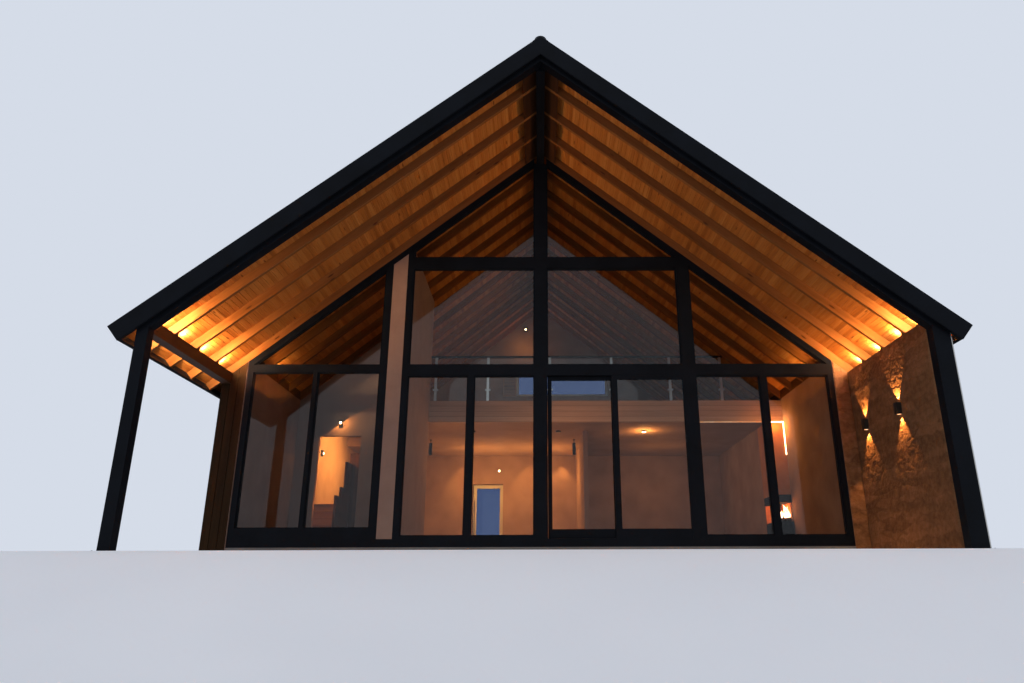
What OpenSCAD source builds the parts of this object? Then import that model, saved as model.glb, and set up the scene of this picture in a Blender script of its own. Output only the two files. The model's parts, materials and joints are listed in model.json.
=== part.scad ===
/* [Roof] */
// Height of the ridge of the two roof planes above the base
ridge_z = 8900; // [8600:10:9300]
// Distance that the eaves stand out beyond the thicker side wall
eave_out = 320; // [280:5:500]
// Slope of the roof in degrees
roof_pitch = 39.3; // [38.5:0.1:40]
// Number of rafters on each slope
rafter_n = 17; // [16:1:20]
// Distance between the front faces of two rafters
rafter_pitch = 810; // [780:5:840]
// Distance from the front of the barge to the first rafter
rafter_first = 890; // [860:5:960]
// Thickness of a rafter
rafter_w = 70; // [50:1:100]
// Depth of a rafter, square to the slope
rafter_d = 160; // [120:1:200]
// Thickness of the roof covering with its battens
clad_t = 50; // [30:1:80]
// Thickness of the soffit boards
board_t = 28; // [18:1:40]
// Open joint between the two slopes of the covering under the ridge cap
ridge_gap = 30; // [10:1:60]
// Width of each wing of the ridge cap along the slope
cap_w = 170; // [120:5:260]
// Thickness of the ridge cap
cap_t = 10; // [6:1:16]
// Radius of the round roll along the ridge cap
cap_r = 110; // [70:1:130]
// Clearance of a piece that meets a sloped piece, square to the slope
seat = 0.3; // [0.2:0.1:0.9]

/* [Barge and fascia] */
// Depth of the barge and the fascias, square to the slope
barge_d = 285; // [260:1:320]
// Thickness of the barge
barge_t = 80; // [50:1:120]
// Thickness of the eave fascias
fascia_t = 45; // [25:1:70]

/* [Front portal] */
// Level of the underside of the portal beams below the roof plane, square to it
portal_d = 365; // [330:1:420]
// Thickness of the portal beams and posts, front to back
portal_t = 180; // [140:5:240]
// Width of the left portal post
left_post_w = 180; // [140:5:240]
// Width of the right portal post
right_post_w = 280; // [200:5:340]
// Half width of the ridge beam
ridge_beam_hw = 80; // [60:1:110]
// Distance of the underside of the ridge beam below the ridge
ridge_beam_drop = 550; // [500:5:650]
// Width of the blocks beside the ridge beam
block_w = 250; // [150:5:300]
// Depth of the blocks, square to the slope
block_d = 150; // [80:1:158]

/* [Walls] */
// Clear width of the house between its side walls
inner_w = 11700; // [11400:10:11900]
// Thickness of the left side wall
left_wall_t = 480; // [380:5:520]
// Thickness of the right side wall
right_wall_t = 580; // [480:5:600]
// Width of the open beam that carries the rafters on the left of the porch
eave_beam_w = 180; // [140:5:240]
// Height of that beam at its inner face
eave_beam_h = 219; // [180:1:300]
// Thickness of the stone wall on the right of the porch
porch_wall_t = 280; // [200:5:360]
// Thickness of the rear wall
rear_wall_t = 280; // [200:5:320]
// Level of the floor above the base
floor_z = 350; // [300:5:380]

/* [Glazed gable] */
// Number of the rafter under which the glazed gable stands
glaze_rafter = 4; // [4:1:5]
// Depth of the glazing frame, front to back
frame_d = 150; // [130:5:180]
// Height of the sill under the glazing
sill_h = 150; // [100:5:200]
// Width of the centre column
col_w = 260; // [200:5:300]
// Distance of the right column from the centre line
rcol_x = 2840; // [2800:5:2900]
// Width of the right column
rcol_w = 260; // [200:5:300]
// Distance of the pale pier from the centre line
pier_x = 2780; // [2760:5:2800]
// Width of the pale pier
pier_w = 295; // [280:5:310]
// Width of the frame on the inner side of the pier
pier_in_w = 125; // [100:5:150]
// Width of the frame on the outer side of the pier
pier_out_w = 150; // [120:5:180]
// Width of the end frames against the side walls
end_w = 110; // [80:5:130]
// Drop of the lower transom below the outer end of the sloped heads
transom_drop = 12; // [4:1:40]
// Height of the lower transom
transom_h = 225; // [180:5:260]
// Height of the lower transom in the left bay
transom_left_h = 145; // [100:5:200]
// Drop of the upper transom below the heads at its outer end
upper_drop = 25; // [5:1:200]
// Height of the upper transom
upper_h = 250; // [200:5:255]
// Depth of the sloped heads, square to the slope
head_d = 118; // [90:1:120]
// Width of the outer pane of the outer left bay
pane_1 = 1205; // [1050:5:1350]
// Width of the mullion beside it
mull_1_w = 80; // [60:5:120]
// Width of the inner pane of the inner left bay
pane_2 = 1200; // [1050:5:1350]
// Width of the mullion beside it
mull_2_w = 125; // [80:5:160]
// Width of the inner pane of the outer right bay
pane_4 = 1275; // [1050:5:1400]
// Width of the mullion beside it
mull_4_w = 130; // [80:5:160]
// Height of the bottom rail in the outer left bay
rail_left_h = 197; // [120:1:240]
// Height of the bottom rails in the other fixed bays
rail_h = 50; // [40:1:120]
// Thickness of the glass
glass_t = 30; // [20:1:40]
// Distance of the glass behind the front of the frame
glass_in = 55; // [45:1:65]
// Half of the clear width at the ridge beam that the sloped heads keep
head_gap = 130; // [120:1:160]

/* [Sliding door] */
// Distance of the meeting stile from the centre line
meet_x = 1410; // [1350:5:1440]
// Width of the meeting stile
meet_w = 100; // [80:5:120]
// Width of the lock stile of the sliding leaf
stile_w = 65; // [50:5:100]
// Height of the bottom rails of the door
door_rail_h = 163; // [120:1:200]
// Height of the top rails of the door
door_top_h = 70; // [50:1:100]
// Thickness of the two leaves
leaf_t = 50; // [40:1:52]
// Distance of the two leaves from the faces of the frame
leaf_in = 10; // [5:1:15]
// Clearance round the sliding leaf
leaf_clear = 6; // [5:0.5:8]
// Clearance under the sliding leaf
leaf_under = 8; // [6:0.5:12]
// Length of its rollers
roller_w = 16; // [10:1:24]
// Radius of the rollers of the sliding leaf
roller_r = 18; // [12:1:24]
// Running gap under the rollers and between hinge knuckles
run_gap = 0.3; // [0.2:0.05:0.5]

/* [Inside] */
// Distance of the mezzanine's edge behind the glazing
mezz_back = 3240; // [3240:10:3600]
// Drop of the mezzanine's floor below the top of the side walls
mezz_drop = 34; // [0:1:120]
// Thickness of the mezzanine's floor
mezz_t = 270; // [200:5:320]
// Height of the band along the mezzanine's edge
band_h = 530; // [400:5:600]
// Thickness of that band
band_t = 60; // [40:1:69]
// Height of the balustrade over the mezzanine's floor
balus_h = 1140; // [1000:5:1200]
// Height of the balustrade's top rail
balus_rail_h = 45; // [30:1:60]
// Width of a balustrade post
balus_post_w = 60; // [40:1:80]
// Thickness of the balustrade's glass
balus_glass_t = 20; // [12:1:24]
// Distance of the first balustrade post from the long inner wall
balus_first = 130; // [60:5:200]
// Distance between the first and the second post
balus_gap_1 = 1280; // [1100:10:1500]
// Distance between the second and the third post, and the third and the fourth
balus_gap_2 = 1520; // [1300:10:1600]
// Distance between the fourth and the fifth post
balus_gap_3 = 1430; // [1200:10:1550]
// Distance of the last post from the right side wall
balus_last = 1420; // [1400:10:1600]
// Distance of the long inner wall's right face from the centre line
long_wall_x = 2700; // [2660:5:2740]
// Thickness of the long inner wall
long_wall_t = 360; // [330:5:380]
// Thickness of the cross wall in front of the stair
cross_wall_t = 120; // [100:5:160]
// Distance of the doorway in the cross wall from the left side wall
doorway_in = 530; // [450:5:600]
// Width of the doorway
doorway_w = 1010; // [900:5:1100]
// Height of the doorway
doorway_h = 2580; // [2100:5:2700]
// Distance of the rear inner wall's left face from the centre line
part_x = 1156; // [1100:1:1300]
// Thickness of the rear inner wall
part_t = 120; // [90:5:200]
// Distance of its front end from the rear wall
part_len = 4200; // [3600:10:4600]
// Width of the stair
stair_w = 900; // [850:5:1000]
// Distance of the first step behind the cross wall
stair_back = 300; // [200:5:400]
// Number of risers of the whole stair
riser_n = 18; // [18:1:21]
// Number of risers of the lower flight
lower_n = 6; // [5:1:7]
// Number of risers of the middle flight
middle_n = 3; // [2:1:3]
// Going of a step
going = 250; // [230:1:260]
// Thickness of the two upper flights, straight down
waist = 300; // [240:5:360]
// Thickness of the stepped screen beside the stair
screen_t = 60; // [40:1:80]
// Height of the first part of the screen above the floor
screen_h = 1220; // [1000:5:1300]
// Rise of the screen to its second part
screen_up = 250; // [150:5:350]
// Length of the first part of the screen
screen_len_1 = 410; // [300:5:450]
// Length of the second part of the screen
screen_len_2 = 360; // [300:5:400]
// Height of the third part of the screen above the landing
screen_over_1 = 1000; // [900:5:1100]
// Height of the screen above each step of the middle flight
screen_over_2 = 1100; // [1000:5:1200]
// Distance that the chimney breast stands out from the right wall
breast_out = 370; // [300:5:450]
// Length of the chimney breast along the wall
breast_len = 900; // [700:5:1100]
// Level of the underside of the chimney breast
breast_z = 1510; // [1450:5:1600]
// Height of the steel hood under the breast
hood_h = 180; // [120:5:220]
// Height of the hearth above the floor
hearth_h = 550; // [450:5:600]

/* [Rear gable] */
// Hinge side of the rear door, from the centre line
rdoor_x = 1207; // [1000:1:1300]
// Width of the rear door opening
rdoor_w = 967; // [900:1:1100]
// Level of the head of the rear door
rdoor_z = 2590; // [2400:5:2700]
// Thickness of the rear door leaf
rdoor_t = 60; // [45:1:70]
// Width of the stiles and rails of the rear door
rdoor_stile = 90; // [70:1:120]
// Radius of the hinge knuckles
knuckle_r = 12; // [9:0.5:14]
// Distance of the hinge knuckles behind the rear wall
knuckle_out = 2; // [1:0.5:5]
// Length of a hinge knuckle
knuckle_h = 50; // [40:1:60]
// Width of a hinge plate
hinge_plate = 50; // [30:1:70]
// Thickness of a hinge plate
hinge_plate_t = 5; // [3:0.5:8]
// Distance of the lowest hinge above the floor
hinge_low = 250; // [200:5:350]
// Distance of the highest hinge below the head of the door
hinge_high = 350; // [260:5:450]
// Clearance between the rear door leaf and its jambs
rdoor_side = 5; // [5:0.5:8]
// Clearance over and under the rear door leaf
rdoor_end = 6; // [5:0.5:10]
// Thickness of the rear door's glass
rdoor_glass_t = 20; // [16:1:30]
// Height of the lower end of the pull above the floor
pull_up = 650; // [500:10:800]
// Length of the pull
pull_len = 1090; // [900:10:1300]
// Radius of the pull
pull_r = 14; // [10:1:20]
// Radius of the two stems that hold the pull
stem_r = 9; // [6:1:12]
// Length of the stems
stem_len = 50; // [35:1:80]
// Distance of a stem from the end of the pull
stem_in = 150; // [80:5:250]
// Left side of the upper rear window, from the centre line
rwin_left = 800; // [700:5:900]
// Right side of the upper rear window, from the centre line
rwin_right = 2270; // [2100:5:2300]
// Distance of its top below the ridge
rwin_down = 2550; // [2500:5:2650]
// Height of the window
rwin_h = 830; // [700:5:880]
// Width of the bars of its frame
rwin_bar = 60; // [40:1:80]
// Distance of the frame behind the inner face of the rear wall
rwin_in = 80; // [60:5:110]
// Depth of the frame
rwin_t = 70; // [50:1:90]
// Thickness of its glass
rwin_glass_t = 30; // [20:1:40]

/* [Lights] */
// Radius of the lights on the eave beam and the stone wall
uplight_r = 40; // [30:1:60]
// Height of those lights, square to the slope
uplight_h = 50; // [30:1:70]
// Distance of those lights from the inner edge of the beam or wall
uplight_in = 50; // [45:1:80]
// Distance of those lights from the rafter behind them
uplight_back = 660; // [600:5:700]
// Width and depth of a wall light
lamp_w = 100; // [60:1:140]
// Height of a wall light
lamp_h = 200; // [120:5:260]
// Level of the porch wall lights
lamp_z = 2280; // [2000:5:2500]
// Distance of the back porch wall light from the glazing
lamp_y1 = 560; // [400:5:800]
// Distance of the front porch wall light from the glazing
lamp_y2 = 1875; // [1600:5:2200]
// Distance of the first light behind the portal
uplight_first = 110; // [60:5:200]
// Width and depth of the light over the doorway
door_lamp_w = 60; // [40:1:90]
// Height of that light
door_lamp_h = 160; // [100:5:220]
// Distance of that light above the doorway
door_lamp_up = 230; // [120:5:300]
// Width of the light at the top of the rear gable
gable_lamp_w = 120; // [80:5:180]
// Depth of that light
gable_lamp_d = 70; // [50:1:100]
// Height of that light
gable_lamp_h = 140; // [80:5:200]
// Distance of that light to the left of the centre line
gable_lamp_x = 500; // [400:5:600]
// Distance of its bottom below the ridge
gable_lamp_down = 1100; // [1000:5:1300]
// Width and depth of the light over the rear door
rear_lamp_w = 80; // [50:1:120]
// Level of that light between the head of the rear door and the mezzanine, in percent
rear_lamp_up = 42; // [20:1:60]
// Height of that light, in percent of the same distance
rear_lamp_h = 9; // [4:1:15]
// Distance of that light from the hinge side of the rear door
rear_lamp_in = 130; // [0:5:400]
// Width and depth of the light on the left wall beside the stair
stair_lamp_w = 60; // [40:1:90]
// Height of that light
stair_lamp_h = 160; // [100:5:220]
// Distance of that light above the landing
stair_lamp_up = 1290; // [1000:5:1500]
// Distance of that light behind the front of the landing
stair_lamp_back = 400; // [200:5:600]
// Radius of the ceiling lights under the mezzanine
ceil_r = 70; // [40:1:100]
// Height of the ceiling lights
ceil_h = 40; // [20:1:80]
// Distance of the right ceiling light from the centre line
ceil_x = 2820; // [2600:10:3000]
// Distance between two ceiling lights
ceil_gap = 2330; // [2100:10:2500]
// Number of ceiling lights
ceil_n = 3; // [1:1:3]
// Distance of the ceiling lights behind the mezzanine's edge
ceil_back = 2360; // [1500:10:3500]

/* [Hidden] */

// Length of the roof, and its front and back
roof_len = rafter_first + (rafter_n - 1) * rafter_pitch + rafter_w + barge_t;
yf = -roof_len / 2;
yb = roof_len / 2;
// Inside and outside of the two ends of the house
yg = yf + rafter_first + (glaze_rafter - 1) * rafter_pitch;
yr = yf + rafter_first + (rafter_n - 2) * rafter_pitch + rafter_w;
yro = yr + rear_wall_t;
ypb = yf + barge_t + portal_t;
// Half of the clear width, and the outer faces of the side walls
xin = inner_w / 2;
xlo = xin + left_wall_t;
xro = xin + right_wall_t;
// Levels below the roof plane, square to it
d_board = clad_t + board_t;
d_raf = d_board + rafter_d;
d_head = d_raf + head_d;
// Half of the width over the eaves, and the length of a slope from the ridge to the eave
half_w = max(xlo, xro) + eave_out;
slope_s = half_w / cos(roof_pitch);
// Edges of the glazed bays
xc = col_w / 2;
xp1 = pier_x - pier_in_w;
xp2 = pier_x + pier_w + pier_out_w;
xr1 = rcol_x;
xr2 = rcol_x + rcol_w;
xe = xin - end_w;
// Levels of the transoms and of the ridge beam
transom_z = ridge_z - xe * tan(roof_pitch) - d_head / cos(roof_pitch) - transom_drop;
t_low = transom_z - transom_h;
upper_z = ridge_z - max(xr1, xp1) * tan(roof_pitch) - d_head / cos(roof_pitch) - upper_drop
  - upper_h;
ridge_beam_z = ridge_z - ridge_beam_drop;
eave_beam_z = ridge_z - (xlo - eave_beam_w) * tan(roof_pitch) - d_raf / cos(roof_pitch)
  - eave_beam_h;
// Centres of the mullions
mull_1 = xe - pane_1 - mull_1_w / 2;
mull_2 = xc + pane_2 + mull_2_w / 2;
mull_4 = xr2 + pane_4 + mull_4_w / 2;
// Rear window
rwin_z = ridge_z - rwin_down - rwin_h;
// Mezzanine and stair
mezz_z = ridge_z - xin * tan(roof_pitch) - d_raf / cos(roof_pitch) - mezz_drop;
doorway_x = xin - doorway_in - doorway_w;
ym = yg + mezz_back;
rise = (mezz_z - floor_z) / riser_n;
ycw = ym + rafter_w;
yst = ycw + cross_wall_t + stair_back;
yl1 = yst + (lower_n - 1) * going;
yl2 = yl1 + stair_w;
xst = xin - stair_w;
landing_z = floor_z + lower_n * rise;
xs1 = -xst + (middle_n - 1) * going;
xs2 = xs1 + stair_w;
landing_2_z = landing_z + middle_n * rise;
top_n = riser_n - lower_n - middle_n;
ytop = yl2 + (top_n - 1) * going;

// Level at distance x from the centre, d below the roof plane square to it
function zr(x, d) = ridge_z - abs(x) * tan(roof_pitch) - d / cos(roof_pitch);
// Distance from the centre where level z is reached, d below the roof plane
function xr(z, d) = (ridge_z - d / cos(roof_pitch) - z) / tan(roof_pitch);
// Point at distance s down the slope and d below the roof plane
function sp(side, s, d) = [side * (s * cos(roof_pitch) - d * sin(roof_pitch)),
  ridge_z - s * sin(roof_pitch) - d * cos(roof_pitch)];

// A profile across the house, from y1 to y2
module across(y1, y2) {
  translate([0, y2, 0])
    rotate([90, 0, 0])
      linear_extrude(y2 - y1)
        children();
}

// A profile along the house, from x1 to x2
module along(x1, x2) {
  translate([x1, 0, 0])
    rotate([90, 0, 90])
      linear_extrude(x2 - x1)
        children();
}

// A box between two corners
module box(a, b) {
  translate(a)
    cube(b - a);
}

// A sloped piece with a plumb end at x1 and a square end at s2 down the slope
module slope_to_eave(side, x1, s2, d1, d2, y1, y2) {
  across(y1, y2)
    polygon([[side * x1, zr(x1, d1)], sp(side, s2, d1), sp(side, s2, d2),
      [side * x1, zr(x1, d2)]]);
}

// A sloped piece with plumb ends
module slope_bar(side, x1, x2, d1, d2, y1, y2) {
  across(y1, y2)
    polygon([[side * x1, zr(x1, d1)], [side * x2, zr(x2, d1)], [side * x2, zr(x2, d2)],
      [side * x1, zr(x1, d2)]]);
}

// A block whose top follows the slope at depth d
module under_roof(xa, xb, y1, y2, z1, d) {
  across(y1, y2)
    polygon([[xa, z1], [xb, z1], [xb, zr(xb, d)], [xa, zr(xa, d)]]);
}

// A chevron across the whole roof between two levels below the roof plane, cut square at s2
module chevron(s2, d1, d2, y1, y2) {
  across(y1, y2)
    polygon([sp(-1, s2, d1), [0, zr(0, d1)], sp(1, s2, d1), sp(1, s2, d2), [0, zr(0, d2)],
      sp(-1, s2, d2)]);
}

// Front face of rafter k, counted from 0
function yk(k) = yf + rafter_first + k * rafter_pitch;

module floor_slab() {
  color("silver")
    box([-xin, yg + frame_d, 0], [xin, yr, floor_z]);
}

module front_plinth() {
  color("gray")
    box([-xin, yg, 0], [xin, yg + frame_d, floor_z - sill_h]);
}

module left_side_wall() {
  color("#4a3324")
    under_roof(-xlo, -xin, yg, yro, 0, d_raf + seat);
}

module right_side_wall() {
  color("#6b4a30")
    under_roof(xin, xro, yg, yro, 0, d_raf + seat);
}

module porch_stone_wall() {
  color("#6b4a30")
    under_roof(xro - porch_wall_t, xro, ypb, yg, 0, d_raf + seat);
}

// Outer parts of the rear wall below the window, and the top of the gable
module rear_wall() {
  d = d_board + seat;
  color("#4a3324") {
    across(yr, yro)
      polygon([[-xin, 0], [-rdoor_x - rdoor_w, 0], [-rdoor_x - rdoor_w, rwin_z],
        [-xr(rwin_z, d), rwin_z], [-xin, zr(xin, d)]]);
    across(yr, yro)
      polygon([[-rdoor_x, 0], [xin, 0], [xin, zr(xin, d)],
        [xr(rwin_z, d), rwin_z], [-rdoor_x, rwin_z]]);
    across(yr, yro)
      polygon([[-xr(rwin_z + rwin_h, d), rwin_z + rwin_h],
        [xr(rwin_z + rwin_h, d), rwin_z + rwin_h], [0, zr(0, d)]]);
  }
}

module rear_wall_over_door() {
  color("#4a3324") {
    box([-rdoor_x - rdoor_w, yr, rdoor_z], [-rdoor_x, yro, rwin_z]);
    box([-rdoor_x - rdoor_w, yr, 0], [-rdoor_x, yro, floor_z]);
  }
}

module rear_gable_sides() {
  z1 = rwin_z;
  z2 = rwin_z + rwin_h;
  d = d_board + seat;
  color("#4a3324")
    across(yr, yro) {
      polygon([[-xr(z1, d), z1], [-rwin_left, z1], [-rwin_left, z2], [-xr(z2, d), z2]]);
      polygon([[rwin_right, z1], [xr(z1, d), z1], [xr(z2, d), z2], [rwin_right, z2]]);
    }
}

module rafters() {
  color("#8a4a1e")
    for (side = [-1, 1], k = [0 : rafter_n - 1])
      slope_to_eave(side, ridge_beam_hw, slope_s - fascia_t, d_board, d_raf, yk(k),
        yk(k) + rafter_w);
}

module soffit_boards() {
  color("#c8702a")
    for (side = [-1, 1])
      slope_to_eave(side, ridge_beam_hw, slope_s - fascia_t, clad_t + seat, d_board, yf + barge_t,
        yb - barge_t);
}

module roof_covering() {
  color("#2b2d30")
    for (side = [-1, 1])
      slope_to_eave(side, ridge_gap / 2, slope_s - fascia_t, 0, clad_t, yf + barge_t,
        yb - barge_t);
}

// Folded cap with a round roll along the whole ridge
module ridge_cap() {
  color("#24262a")
    across(yf, yb) {
      polygon([sp(-1, cap_w, -cap_t), [0, zr(0, -cap_t)], sp(1, cap_w, -cap_t),
        sp(1, cap_w, -seat), [0, zr(0, -seat)], sp(-1, cap_w, -seat)]);
      difference() {
        translate([0, ridge_z + cap_t - cap_r])
          circle(r = cap_r, $fn = 96);
        polygon([[-2 * cap_r, zr(2 * cap_r, -seat)], [0, zr(0, -seat)],
          [2 * cap_r, zr(2 * cap_r, -seat)], [2 * cap_r, ridge_z - 4 * cap_r],
          [-2 * cap_r, ridge_z - 4 * cap_r]]);
      }
    }
}

module barge(y1) {
  color("#1d2024")
    chevron(slope_s, 0, barge_d, y1, y1 + barge_t);
}

module front_barge() {
  barge(yf);
}

module rear_barge() {
  barge(yb - barge_t);
}

module eave_fascias() {
  color("#1d2024")
    for (side = [-1, 1])
      across(yf + barge_t, yb - barge_t)
        polygon([sp(side, slope_s - fascia_t, 0), sp(side, slope_s, 0),
          sp(side, slope_s, barge_d), sp(side, slope_s - fascia_t, barge_d)]);
}

module portal_beams() {
  d = d_board + seat;
  color("#17191c")
    across(yf + barge_t, ypb)
      polygon([[-xlo, zr(xlo, d)], [0, zr(0, d)], [xro, zr(xro, d)], [xro, zr(xro, portal_d)],
        [0, zr(0, portal_d)], [-xlo, zr(xlo, portal_d)]]);
}

module portal_posts() {
  color("#17191c") {
    under_roof(-xlo, -xlo + left_post_w, yf + barge_t, ypb, 0, portal_d + seat);
    under_roof(xro - right_post_w, xro, yf + barge_t, ypb, 0, portal_d + seat);
  }
}

module ridge_beam() {
  color("#17191c")
    for (y = [[ypb, yr], [yro, yb - barge_t]])
      across(y[0], y[1])
        polygon([[-ridge_beam_hw, ridge_beam_z], [ridge_beam_hw, ridge_beam_z],
          [ridge_beam_hw, zr(ridge_beam_hw, clad_t + seat)], [0, zr(0, clad_t + seat)],
          [-ridge_beam_hw, zr(ridge_beam_hw, clad_t + seat)]]);
}

module ridge_blocks() {
  color("#5a3418")
    for (side = [-1, 1], k = [0 : glaze_rafter - 1])
      slope_bar(side, ridge_beam_hw, ridge_beam_hw + block_w, d_board + seat, d_board + block_d,
        k == 0 ? ypb : yk(k - 1) + rafter_w, yk(k));
}

module left_eave_beam() {
  color("#5a3418")
    under_roof(-xlo, -xlo + eave_beam_w, ypb, yg, eave_beam_z, d_raf + seat);
}

module eave_blocking() {
  color("#5a3418")
    for (k = [glaze_rafter - 1 : rafter_n - 2]) {
      y1 = yk(k) + rafter_w;
      y2 = k == rafter_n - 2 ? yro : yk(k + 1);
      slope_bar(-1, xin, xlo, d_board + seat, d_raf, y1, y2);
      slope_bar(1, xin, xro, d_board + seat, d_raf, y1, y2);
    }
}

module glazing_sill() {
  color("#17191c")
    box([-xin, yg, floor_z - sill_h], [xin, yg + frame_d, floor_z]);
}

// Upright of the glazed gable that reaches the sloped head
module column(xa, xb) {
  under_roof(xa, xb, yg, yg + frame_d, floor_z, d_head + seat);
}

// Upright between the sill and the lower transom
module mullion(x, w, h) {
  box([x - w / 2, yg, floor_z], [x + w / 2, yg + frame_d, transom_z - h]);
}

module glazing_posts() {
  color("#17191c") {
    column(-xin, -xe);
    column(-xp2, -pier_x - pier_w);
    column(-pier_x, -xp1);
    box([-xc, yg, floor_z], [xc, yg + frame_d, ridge_beam_z]);
    column(xr1, xr2);
    column(xe, xin);
    mullion(-mull_1, mull_1_w, transom_left_h);
    mullion(-mull_2, mull_2_w, transom_h);
    mullion(mull_4, mull_4_w, transom_h);
    box([meet_x, yg + leaf_in, floor_z], [meet_x + meet_w, yg + leaf_in + leaf_t, t_low]);
  }
}

// A rail between two uprights
module rail(xa, xb, z1, z2) {
  box([xa, yg, z1], [xb, yg + frame_d, z2]);
}

module glazing_transoms() {
  color("#17191c") {
    rail(-xe, -xp2, transom_z - transom_left_h, transom_z);
    rail(-xp1, -xc, t_low, transom_z);
    rail(xc, xr1, t_low, transom_z);
    rail(xr2, xe, t_low, transom_z);
    rail(-xp1, -xc, upper_z, upper_z + upper_h);
    rail(xc, xr1, upper_z, upper_z + upper_h);
    rail(-xe, -mull_1 - mull_1_w / 2, floor_z, floor_z + rail_left_h);
    rail(-mull_1 + mull_1_w / 2, -xp2, floor_z, floor_z + rail_left_h);
    rail(-xp1, -mull_2 - mull_2_w / 2, floor_z, floor_z + rail_h);
    rail(-mull_2 + mull_2_w / 2, -xc, floor_z, floor_z + rail_h);
    rail(xr2, mull_4 - mull_4_w / 2, floor_z, floor_z + rail_h);
    rail(mull_4 + mull_4_w / 2, xe, floor_z, floor_z + rail_h);
  }
}

module glazing_heads() {
  x1 = max(ridge_beam_hw, xc, head_gap);
  color("#17191c")
    for (side = [-1, 1])
      slope_bar(side, x1, xin, d_raf + seat, d_head, yg, yg + frame_d);
}

module pale_pier() {
  color("#cdb8a0")
    under_roof(-pier_x - pier_w, -pier_x, yg, yg + frame_d, floor_z, d_head + seat);
}

// A pane between two uprights
module pane(xa, xb, z1, z2) {
  box([xa, yg + glass_in, z1], [xb, yg + glass_in + glass_t, z2]);
}

// A pane that reaches the sloped head
module pane_to_head(xa, xb, z1) {
  under_roof(xa, xb, yg + glass_in, yg + glass_in + glass_t, z1, d_head + seat);
}

module front_glass() {
  color([0.6, 0.7, 0.8, 0.35]) {
    pane(-xe, -mull_1 - mull_1_w / 2, floor_z + rail_left_h, transom_z - transom_left_h);
    pane(-mull_1 + mull_1_w / 2, -xp2, floor_z + rail_left_h, transom_z - transom_left_h);
    pane(-xp1, -mull_2 - mull_2_w / 2, floor_z + rail_h, t_low);
    pane(-mull_2 + mull_2_w / 2, -xc, floor_z + rail_h, t_low);
    pane(xr2, mull_4 - mull_4_w / 2, floor_z + rail_h, t_low);
    pane(mull_4 + mull_4_w / 2, xe, floor_z + rail_h, t_low);
    box([meet_x + meet_w, yg + leaf_in + (leaf_t - glass_t) / 2, floor_z + door_rail_h],
      [xr1, yg + leaf_in + (leaf_t + glass_t) / 2, t_low - door_top_h]);
    pane(-xp1, -xc, transom_z, upper_z);
    pane(xc, xr1, transom_z, upper_z);
    pane_to_head(-xp1, -xc, upper_z + upper_h);
    pane_to_head(xc, xr1, upper_z + upper_h);
    pane_to_head(-xe, -xp2, transom_z);
    pane_to_head(xr2, xe, transom_z);
  }
}

module door_fixed_rails() {
  color("#17191c") {
    for (z = [[floor_z, floor_z + door_rail_h], [t_low - door_top_h, t_low]])
      box([meet_x + meet_w, yg + leaf_in, z[0]], [xr1, yg + leaf_in + leaf_t, z[1]]);
  }
}

// Sliding leaf: its edges and its depth behind the fixed leaf
lx1 = xc + leaf_clear;
lx2 = meet_x + meet_w;
ly1 = yg + frame_d - leaf_t - leaf_in;
ly2 = ly1 + leaf_t;
lz1 = floor_z + leaf_under;
lz2 = t_low - leaf_clear;

module door_leaf_stiles() {
  color("#17191c")
    for (x = [[lx1, lx1 + stile_w], [meet_x, lx2]]) {
      box([x[0], ly1, lz1], [x[1], ly2, lz2]);
      translate([(x[0] + x[1]) / 2, (ly1 + ly2 - roller_w) / 2, floor_z + run_gap + roller_r])
        rotate([-90, 0, 0])
          difference() {
            cylinder(r = roller_r, h = roller_w, $fn = 48);
            translate([-roller_r - 1, -roller_r * 2 - lz1 + floor_z + run_gap + roller_r, -1])
              cube([roller_r * 2 + 2, roller_r * 2, roller_w + 2]);
          }
    }
}

module door_leaf_rails() {
  color("#17191c") {
    box([lx1 + stile_w, ly1, lz1], [meet_x, ly2, floor_z + door_rail_h]);
    box([lx1 + stile_w, ly1, t_low - door_top_h], [meet_x, ly2, lz2]);
  }
}

module door_leaf_glass() {
  color([0.6, 0.7, 0.8, 0.35])
    box([lx1 + stile_w, ly1 + (leaf_t - glass_t) / 2, floor_z + door_rail_h],
      [meet_x, ly1 + (leaf_t + glass_t) / 2, t_low - door_top_h]);
}

module long_wall() {
  color("#b9a88f")
    under_roof(-long_wall_x - long_wall_t, -long_wall_x, yg + frame_d, ycw, floor_z,
      d_raf + seat);
}

module cross_wall() {
  color("#b9a88f") {
    under_roof(-xin, -doorway_x - doorway_w, ycw, ycw + cross_wall_t, floor_z, d_raf + seat);
    under_roof(-doorway_x, -long_wall_x - long_wall_t, ycw, ycw + cross_wall_t, floor_z,
      d_raf + seat);
  }
}

module cross_wall_over_door() {
  color("#b9a88f")
    under_roof(-doorway_x - doorway_w, -doorway_x, ycw, ycw + cross_wall_t,
      floor_z + doorway_h, d_raf + seat);
}

// Wall under the mezzanine that parts the rear hall from the room on the right
module rear_inner_wall() {
  color("#b9a88f")
    box([part_x, yr - part_len, floor_z], [part_x + part_t, yr, mezz_z - mezz_t]);
}

// Mezzanine, and the floor beside and behind the stair
module mezzanine_floor() {
  color("#a07a50")
    translate([0, 0, mezz_z - mezz_t])
      linear_extrude(mezz_t)
        polygon([[-long_wall_x, ym + band_t], [xin, ym + band_t], [xin, yr], [-xin, yr],
          [-xin, ytop], [xs2, ytop], [xs2, ycw + cross_wall_t],
          [-long_wall_x, ycw + cross_wall_t]]);
}

module mezzanine_band() {
  color("#c0a080")
    box([-long_wall_x, ym, mezz_z - band_h], [xin, ym + band_t, mezz_z]);
}

// Positions of the balustrade posts
b1 = -long_wall_x + balus_first;
b2 = b1 + balus_gap_1;
b3 = b2 + balus_gap_2;
b4 = b3 + balus_gap_2;
balus_x = [b1, b2, b3, b4, b4 + balus_gap_3, xin - balus_last];

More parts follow.
